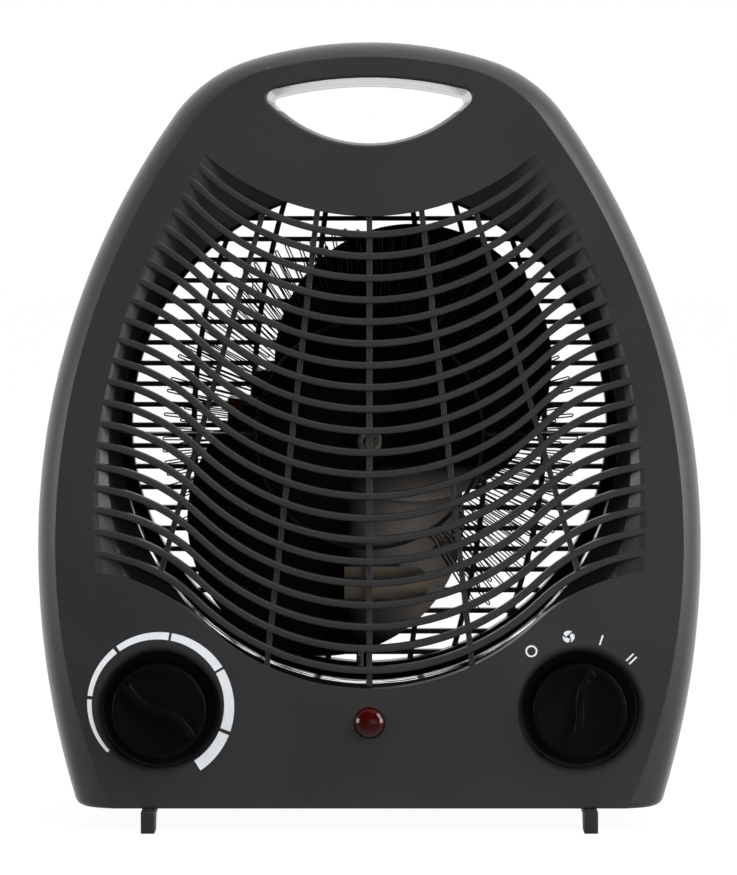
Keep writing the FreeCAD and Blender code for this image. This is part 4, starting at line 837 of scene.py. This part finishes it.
@dataclass
class PrintedScales:
    """White scales beside the knobs: a growing arc for heat, and four switch marks."""

    face: FrontFace
    knob_x: float = 0.0666
    knob_z: float = 0.0384
    arc_inner: float = 0.0210
    arc_start_width: float = 0.001
    arc_end_width: float = 0.0037
    arc_start: float = -133.0
    arc_end: float = 147.0
    arc_break: float = 2.6
    arc_lift: float = 0.0016
    arc_aside: float = 0.0004
    arc_steps: int = 360
    breaks: tuple[float, ...] = (-83.5, -36.4, 10.1, 60.0, 111.5)
    off_angle: float = -36.6
    fan_angle: float = -6.3
    low_angle: float = 18.5
    high_angle: float = 45.4
    mark_radius: float = 0.0242
    mark_aside: float = 0.0009
    mark_drop: float = 0.0006
    mark_tall: float = 0.0038
    stroke: float = 0.00054
    stroke_share: float = 0.86
    stroke_gap: float = 1.3
    stroke_cuts: int = 2
    ring_steps: int = 48
    sign_steps: int = 72
    sign_rings: int = 4
    sign_hub: float = 0.3
    sign_blades: int = 3
    blade_twist: float = 38.0
    blade_gap: float = 26.0

    def ring(self, name: str, steps: int, radius: float) -> bpy.types.Object:
        """Starts a drawing with an upright ring of edges round the origin.

        Args:
            name: name of the drawing.
            steps: number of edges.
            radius: radius of the ring.

        Returns:
            The ring.
        """
        deselect()
        bpy.ops.mesh.primitive_circle_add(vertices=steps, radius=radius, fill_type="NOTHING",
                                          location=(0, 0, 0), rotation=UPRIGHT)
        piece = start_object(name)
        settle(piece)
        return piece

    def arc(self) -> bpy.types.Object:
        """Draws the heat arc, cut into blocks that grow clockwise.

        Returns:
            The flat drawing.
        """
        piece = self.ring("thermostat_scale", self.arc_steps, self.arc_inner)
        open_mesh()
        grow_rim(1.0 + self.arc_end_width / self.arc_inner)
        close_mesh()
        between = self.arc_inner + self.arc_start_width / 2
        span = self.arc_end - self.arc_start
        for vertex in piece.data.vertices:
            radius = math.hypot(vertex.co.x, vertex.co.z)
            if radius > between:
                share = min(max((clock_angle(vertex.co) - self.arc_start) / span, 0.0), 1.0)
                growth = (self.arc_end_width - self.arc_start_width) * share
                width = self.arc_start_width + growth
                vertex.co *= (self.arc_inner + width) / radius

        def bare(polygon: bpy.types.MeshPolygon) -> bool:
            """Tells whether a face is past the arc's ends or in a break."""
            angle = clock_angle(polygon.center)
            off = angle < self.arc_start or angle > self.arc_end
            return off or any(abs(angle - mark) < self.arc_break / 2 for mark in self.breaks)

        delete_faces(piece, bare)
        piece.location = (-self.knob_x - self.arc_aside, 0, self.knob_z + self.arc_lift)
        settle(piece)
        return piece

    def spot(self, degrees: float) -> Triple:
        """Place of a switch mark at a clock angle."""
        angle = math.radians(degrees)
        return (self.knob_x - self.mark_aside + self.mark_radius * math.sin(angle), 0.0,
                self.knob_z - self.mark_drop + self.mark_radius * math.cos(angle))

    def stroke_bar(self, degrees: float, shift: float, name: str) -> bpy.types.Object:
        """Draws one stroke that leans along the radius.

        Args:
            degrees: clock angle of the mark.
            shift: sideways shift of the stroke.
            name: name of the drawing.

        Returns:
            The flat drawing.
        """
        x, y, z = self.spot(degrees)
        lean = math.radians(degrees)
        place = (x + shift * math.cos(lean), y, z - shift * math.sin(lean))
        deselect()
        bpy.ops.mesh.primitive_plane_add(size=1.0, location=place,
                                         rotation=(UPRIGHT[0], lean, 0))
        piece = start_object(name)
        piece.scale = (self.stroke, self.mark_tall * self.stroke_share, 1.0)
        settle(piece)
        open_mesh()
        bpy.ops.mesh.subdivide(number_cuts=self.stroke_cuts)
        close_mesh()
        return piece

    def zero_ring(self, degrees: float) -> bpy.types.Object:
        """Draws the ring of the off mark at a clock angle."""
        deselect()
        bpy.ops.mesh.primitive_circle_add(vertices=self.ring_steps, radius=self.mark_tall / 2,
                                          fill_type="NGON", location=self.spot(degrees),
                                          rotation=UPRIGHT)
        piece = start_object("off_mark")
        settle(piece)
        open_mesh()
        bpy.ops.mesh.inset(thickness=self.stroke)
        bpy.ops.mesh.delete(type="FACE")
        close_mesh()
        return piece

    def fan_sign(self, degrees: float) -> bpy.types.Object:
        """Draws the three-bladed sign of the fan-only mark at a clock angle."""
        rim = self.mark_tall / 2
        hub = rim * self.sign_hub
        radii = [hub + (rim - hub) * ring / self.sign_rings for ring in range(self.sign_rings + 1)]
        piece = self.ring("fan_mark", self.sign_steps, hub)
        open_mesh()
        for inner, outer in zip(radii, radii[1:]):
            grow_rim(outer / inner)
        close_mesh()

        def bare(polygon: bpy.types.MeshPolygon) -> bool:
            """Tells whether a face lies in a gap between two blades."""
            out = (math.hypot(polygon.center.x, polygon.center.z) - hub) / (rim - hub)
            turned = clock_angle(polygon.center) - self.blade_twist * out
            return turned % (360 / self.sign_blades) < self.blade_gap

        delete_faces(piece, bare)
        piece.location = self.spot(degrees)
        settle(piece)
        return piece

    def build(self, ink: bpy.types.Material) -> None:
        """Prints all scales on the face.

        Args:
            ink: material of the print.
        """
        gap = self.stroke * self.stroke_gap
        marks = [
            self.zero_ring(self.off_angle),
            self.fan_sign(self.fan_angle),
            self.stroke_bar(self.low_angle, 0.0, "low_mark"),
            join([self.stroke_bar(self.high_angle, -gap, "high_left"),
                  self.stroke_bar(self.high_angle, gap, "high_right")], "high_mark"),
            self.arc(),
        ]
        for mark in marks:
            self.face.lay(mark)
            finish_piece(mark, ink, Body.HOUSING, "shell")


# Points of one bend: share of its half width, and share of its height.
BEND_SHAPE = ((-1.0, 0.0), (-0.6, 0.7), (0.0, 1.0), (0.6, 0.7), (1.0, 0.0))
# Steps in radians that never fall into line with the turns.
SWAY_STEPS: Span = (2.399963, 0.7548777)


@dataclass
class HeatingWire:
    """Round resistance wire wound to and fro between two radii, open at the bottom."""

    name: str
    node: str
    inner: float
    outer: float
    waves: int
    phase: float
    centre_z: float = 0.125
    wire_radius: float = 0.00025
    end_angle: float = 30.0
    bend: float = 0.00042
    unevenness: float = 0.0009
    sway_share: float = 0.16
    smooth_angle: float = 50.0

    def wander(self, step: int) -> float:
        """Small steady unevenness of a hand-wound turn."""
        first, second = SWAY_STEPS
        return (0.5 * math.sin(step * first + self.phase)
                + 0.5 * math.sin(step * second + 2.0 * self.phase))

    def route(self, level: float) -> list[Triple]:
        """Lists the points that the wire runs through.

        Args:
            level: place of the wire along Y.

        Returns:
            The points in order.
        """
        legs = self.waves * 2
        spread = 360.0 - 2 * self.end_angle
        points = []
        for step in range(legs + 1):
            sway = self.wander(step)
            angle = math.radians(-90 + self.end_angle
                                 + spread * (step + self.sway_share * sway) / legs)
            outward = 1 if step % 2 else -1
            radius = (self.outer if step % 2 else self.inner) + self.unevenness * sway
            for side, swell in BEND_SHAPE:
                reach = radius + outward * self.bend * (swell - 1.0)
                turn = angle + side * self.bend / radius
                points.append((reach * math.cos(turn), level,
                               self.centre_z + reach * math.sin(turn)))
        return points

    def build(self, material: bpy.types.Material) -> None:
        """Winds the wire and puts it in place of its node.

        Args:
            material: finish of the wire.
        """
        low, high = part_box(self.node)
        route = self.route((low.y + high.y) / 2)
        curve = bpy.data.curves.new(self.name, "CURVE")
        curve.dimensions = "3D"
        spline = curve.splines.new("POLY")
        spline.points.add(len(route) - 1)
        for point, place in zip(spline.points, route):
            point.co = (*place, 1.0)
        curve.bevel_depth = self.wire_radius
        curve.bevel_resolution = 1
        curve.use_fill_caps = True
        holder = bpy.data.objects.new(self.name, curve)
        bpy.context.scene.collection.objects.link(holder)
        activate(holder)
        bpy.ops.object.convert(target="MESH")
        piece = start_object(self.name)
        smooth(piece, self.smooth_angle)
        finish_piece(piece, material, Body.HOUSING, "nichrome", (self.node,))


HEATING_WIRES = (
    HeatingWire("fine_wire_front", "heating_wire_front", inner=0.041, outer=0.066, waves=89,
                phase=0.3),
    HeatingWire("fine_wire_rear", "heating_wire_rear", inner=0.0385, outer=0.061, waves=82,
                phase=1.9),
)


@dataclass
class IndicatorLens:
    """Domed red lens with a barrel through the panel and a flange behind it."""

    node: str = "indicator_lens"
    radius: float = 0.0048
    dome: float = 0.0026
    flange: float = 0.0016
    flange_sheet: float = 0.0014
    lamp_z: float = 0.0344
    segments: int = 64
    rings: int = 31

    def build(self, material: bpy.types.Material) -> None:
        """Turns the lens and puts it in place of its node.

        Args:
            material: finish of the lens.
        """
        low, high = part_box(self.node)
        base = low.y + self.dome
        shelf = high.y - self.flange_sheet
        deselect()
        bpy.ops.mesh.primitive_uv_sphere_add(segments=self.segments, ring_count=self.rings,
                                             radius=self.radius, location=(0, base, self.lamp_z),
                                             rotation=UPRIGHT)
        piece = start_object("red_lens")
        piece.scale = (1.0, 1.0, self.dome / self.radius)
        settle(piece)
        # Points have to be selectable here, or the rim that the cut leaves isn't extruded.
        open_mesh()
        bpy.ops.mesh.bisect(plane_co=(0, base, self.lamp_z), plane_no=(0, 1, 0), clear_outer=True)
        barrel = {"value": (0, shelf - base, 0)}
        bpy.ops.mesh.extrude_region_move(TRANSFORM_OT_translate=barrel)
        bpy.ops.mesh.extrude_region_move()
        grow = 1.0 + self.flange / self.radius
        bpy.ops.transform.resize(value=(grow, 1.0, grow), center_override=(0, shelf, self.lamp_z))
        sheet = {"value": (0, self.flange_sheet, 0)}
        bpy.ops.mesh.extrude_region_move(TRANSFORM_OT_translate=sheet)
        bpy.ops.mesh.edge_face_add()
        bpy.ops.mesh.select_all(action="SELECT")
        bpy.ops.mesh.normals_make_consistent(inside=False)
        close_mesh()
        smooth(piece)
        finish_piece(piece, material, Body.HOUSING, "lens", (self.node,))


@dataclass
class RoundedNode:
    """Copy of a node whose sharp rims are rounded as moulding or pressing leaves them."""

    node: str
    width: float
    slot: str
    body: Body = Body.HOUSING
    segments: int = 3
    sharp: float = 32.0
    weld: float = 0.000002
    flat: float = 1.0
    smooth_angle: float = 40.0

    def build(self, material: bpy.types.Material) -> None:
        """Rounds the copy and puts it in place of its node.

        Args:
            material: finish of the copy.
        """
        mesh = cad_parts[self.node].data.copy()
        piece = bpy.data.objects.new(self.node + "_rounded", mesh)
        bpy.context.scene.collection.objects.link(piece)
        activate(piece)
        open_mesh()
        bpy.ops.mesh.remove_doubles(threshold=self.weld)
        bpy.ops.mesh.dissolve_limited(angle_limit=math.radians(self.flat))
        close_mesh()
        rounding = piece.modifiers.new("rounding", "BEVEL")
        rounding.width = self.width
        rounding.segments = self.segments
        rounding.limit_method = "ANGLE"
        rounding.angle_limit = math.radians(self.sharp)
        apply_modifiers(piece)
        smooth(piece, self.smooth_angle)
        finish_piece(piece, material, self.body, self.slot, (self.node,))


# The switch body isn't here: rounded, its bore touches the shaft when the knob turns.
ROUNDED_NODES = (
    (KNOB_BLACK, RoundedNode("thermostat_knob", 0.0006, "knob", Body.THERMOSTAT)),
    (KNOB_BLACK, RoundedNode("switch_knob", 0.0006, "knob", Body.SWITCH)),
    (FOOT_BLACK, RoundedNode("left_foot", 0.0003, "foot")),
    (FOOT_BLACK, RoundedNode("right_foot", 0.0003, "foot")),
    (GLAND_RUBBER, RoundedNode("cord_gland", 0.0005, "gland")),
    (BAKELITE, RoundedNode("thermostat_body", 0.0005, "bakelite")),
    (ZINC, RoundedNode("front_bracket", 0.0002, "zinc_steel")),
    (ZINC, RoundedNode("rear_bracket", 0.0002, "zinc_steel")),
    (ZINC, RoundedNode("fan_nut", 0.0003, "zinc_steel", Body.FAN)),
)


def facing(place: Triple, target: Triple) -> Euler:
    """Turn of a camera or lamp that looks from a place at a target."""
    return (Vector(target) - Vector(place)).to_track_quat("-Z", "Y").to_euler()


@dataclass
class Lamp:
    """Soft square lamp; glossy surfaces mirror it or not."""

    name: str
    place: Triple
    size: float
    watts: float
    colour: Colour = EVEN
    mirrored: bool = True

    def build(self, target: Triple) -> None:
        """Hangs the lamp so that it faces a target.

        Args:
            target: place that it lights.
        """
        data = bpy.data.lights.new(self.name, "AREA")
        data.shape = "SQUARE"
        data.size = self.size
        data.energy = self.watts
        data.color = self.colour
        lamp = bpy.data.objects.new(self.name, data)
        bpy.context.scene.collection.objects.link(lamp)
        lamp.location = self.place
        lamp.visible_camera = False
        lamp.visible_glossy = self.mirrored
        lamp.rotation_euler = facing(self.place, target)


LAMPS = (
    Lamp("key_lamp", (0.3, -0.55, 1.6), 1.0, 27.0, mirrored=False),
    Lamp("fill_lamp", (1.5, -0.7, 1.1), 0.8, 16.0),
    Lamp("front_lamp", (0.1, -1.9, 0.3), 0.6, 6.2, mirrored=False),
    Lamp("right_strip", (1.15, -0.45, 0.12), 0.6, 10.5),
    Lamp("left_strip", (-1.15, -0.45, 0.12), 0.6, 8.5),
    Lamp("blade_card", (0.115, -0.37, 0.02), 0.17, 0.05, (1.0, 0.86, 0.72)),
)


@dataclass
class Studio:
    """White studio: floor, world, lamps and the camera at the photograph's place."""

    distance: float = 1.8
    eye_height: float = 0.197
    aim: Triple = (-0.0003, 0.0, 0.1229)
    lens: float = 228.0
    sensor: float = 36.0
    clip_end: float = 50.0
    floor_size: float = 12.0
    floor_front: float = 0.45
    floor_z: float = -0.0002
    floor_grey: float = 0.08
    floor_roughness: float = 0.9
    floor_glow: float = 0.955
    floor_mirrored: Span = (-0.12, 0.03)
    world_turn: Span = (-0.35, 0.3)
    world_strength: Span = (0.03, 1.0)
    lit_place: Triple = (0.0, 0.0, 0.12)

    def camera(self) -> None:
        """Puts the camera where the photograph was taken."""
        data = bpy.data.cameras.new("camera")
        data.lens = self.lens
        data.sensor_width = self.sensor
        data.clip_end = self.clip_end
        eye = bpy.data.objects.new("camera", data)
        bpy.context.scene.collection.objects.link(eye)
        place = (self.aim[0], -self.distance, self.eye_height)
        eye.location = place
        eye.rotation_euler = facing(place, self.aim)
        bpy.context.scene.camera = eye

    def floor(self) -> None:
        """Lays a pale floor that reads white to the camera and keeps the shadow."""
        middle = self.floor_size / 2 - self.floor_front
        deselect()
        bpy.ops.mesh.primitive_plane_add(size=self.floor_size, location=(0, middle, self.floor_z))
        piece = start_object("floor")
        graph = Graph("studio_floor")
        graph.fix("Base Color", (self.floor_grey, self.floor_grey, self.floor_grey, 1.0))
        graph.fix("Roughness", self.floor_roughness)
        graph.fix("Specular IOR Level", 0.0)
        _, y, _ = graph.axes()
        behind = graph.fade(y, *(edge - middle for edge in self.floor_mirrored))
        rays = graph.node("LightPath").outputs
        seen = graph.math("MAXIMUM", rays["Is Camera Ray"],
                          graph.product(rays["Is Glossy Ray"], behind))
        seen = graph.math("MAXIMUM", seen, rays["Is Transmission Ray"])
        surface = graph.shader.outputs["BSDF"]
        glow = graph.node("Emission", Strength=self.floor_glow)
        both = graph.node("AddShader")
        pick = graph.node("MixShader")
        graph.link(surface, both.inputs[0])
        graph.link(glow.outputs["Emission"], both.inputs[1])
        graph.link(seen, pick.inputs["Fac"])
        graph.link(surface, pick.inputs[1])
        graph.link(both.outputs["Shader"], pick.inputs[2])
        graph.link(pick.outputs["Shader"], graph.output.inputs["Surface"])
        piece.data.materials.append(graph.material)

    def world(self) -> None:
        """Surrounds the heater with white behind it and dim light in front."""
        world = bpy.data.worlds.new("studio")
        bpy.context.scene.world = world
        world.use_nodes = True
        world.node_tree.nodes.clear()
        tree = Tree(world.node_tree)
        output = tree.node("OutputWorld")
        around = tree.node("Background", Color=WHITE)
        white = tree.node("Background", Color=WHITE, Strength=1.0)
        mix = tree.node("MixShader")
        path = tree.node("LightPath")
        place = tree.node("TexCoord")
        split = tree.node("SeparateXYZ")
        fade = tree.node("MapRange", From_Min=self.world_turn[0], From_Max=self.world_turn[1],
                         To_Min=self.world_strength[0], To_Max=self.world_strength[1])
        tree.link(place.outputs["Generated"], split.inputs["Vector"])
        tree.link(split.outputs["Y"], fade.inputs["Value"])
        tree.link(fade.outputs["Result"], around.inputs["Strength"])
        tree.link(path.outputs["Is Camera Ray"], mix.inputs["Fac"])
        tree.link(around.outputs["Background"], mix.inputs[1])
        tree.link(white.outputs["Background"], mix.inputs[2])
        tree.link(mix.outputs["Shader"], output.inputs["Surface"])

    def build(self) -> None:
        """Sets up the whole studio."""
        self.camera()
        self.floor()
        self.world()
        for lamp in LAMPS:
            lamp.build(self.lit_place)
        bpy.context.scene.view_settings.view_transform = "Standard"


def dress_nodes() -> dict[str, bpy.types.Material]:
    """Gives every node its finish.

    Returns:
        The materials, by name.
    """
    materials = {}
    for finish, names in NODE_FINISHES.items():
        material = finish.material()
        materials[finish.name] = material
        for name in names:
            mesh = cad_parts[name].data
            mesh.materials.clear()
            mesh.materials.append(material)
    return materials


def main() -> None:
    """Builds the dressed heater and its studio."""
    materials = dress_nodes()
    PrintedScales(FrontFace()).build(INK.material())
    for wire in HEATING_WIRES:
        wire.build(materials[NICHROME.name])
    IndicatorLens().build(materials[LENS_RED.name])
    for finish, node in ROUNDED_NODES:
        node.build(materials[finish.name])
    Studio().build()


if __name__ == "__main__":
    main()
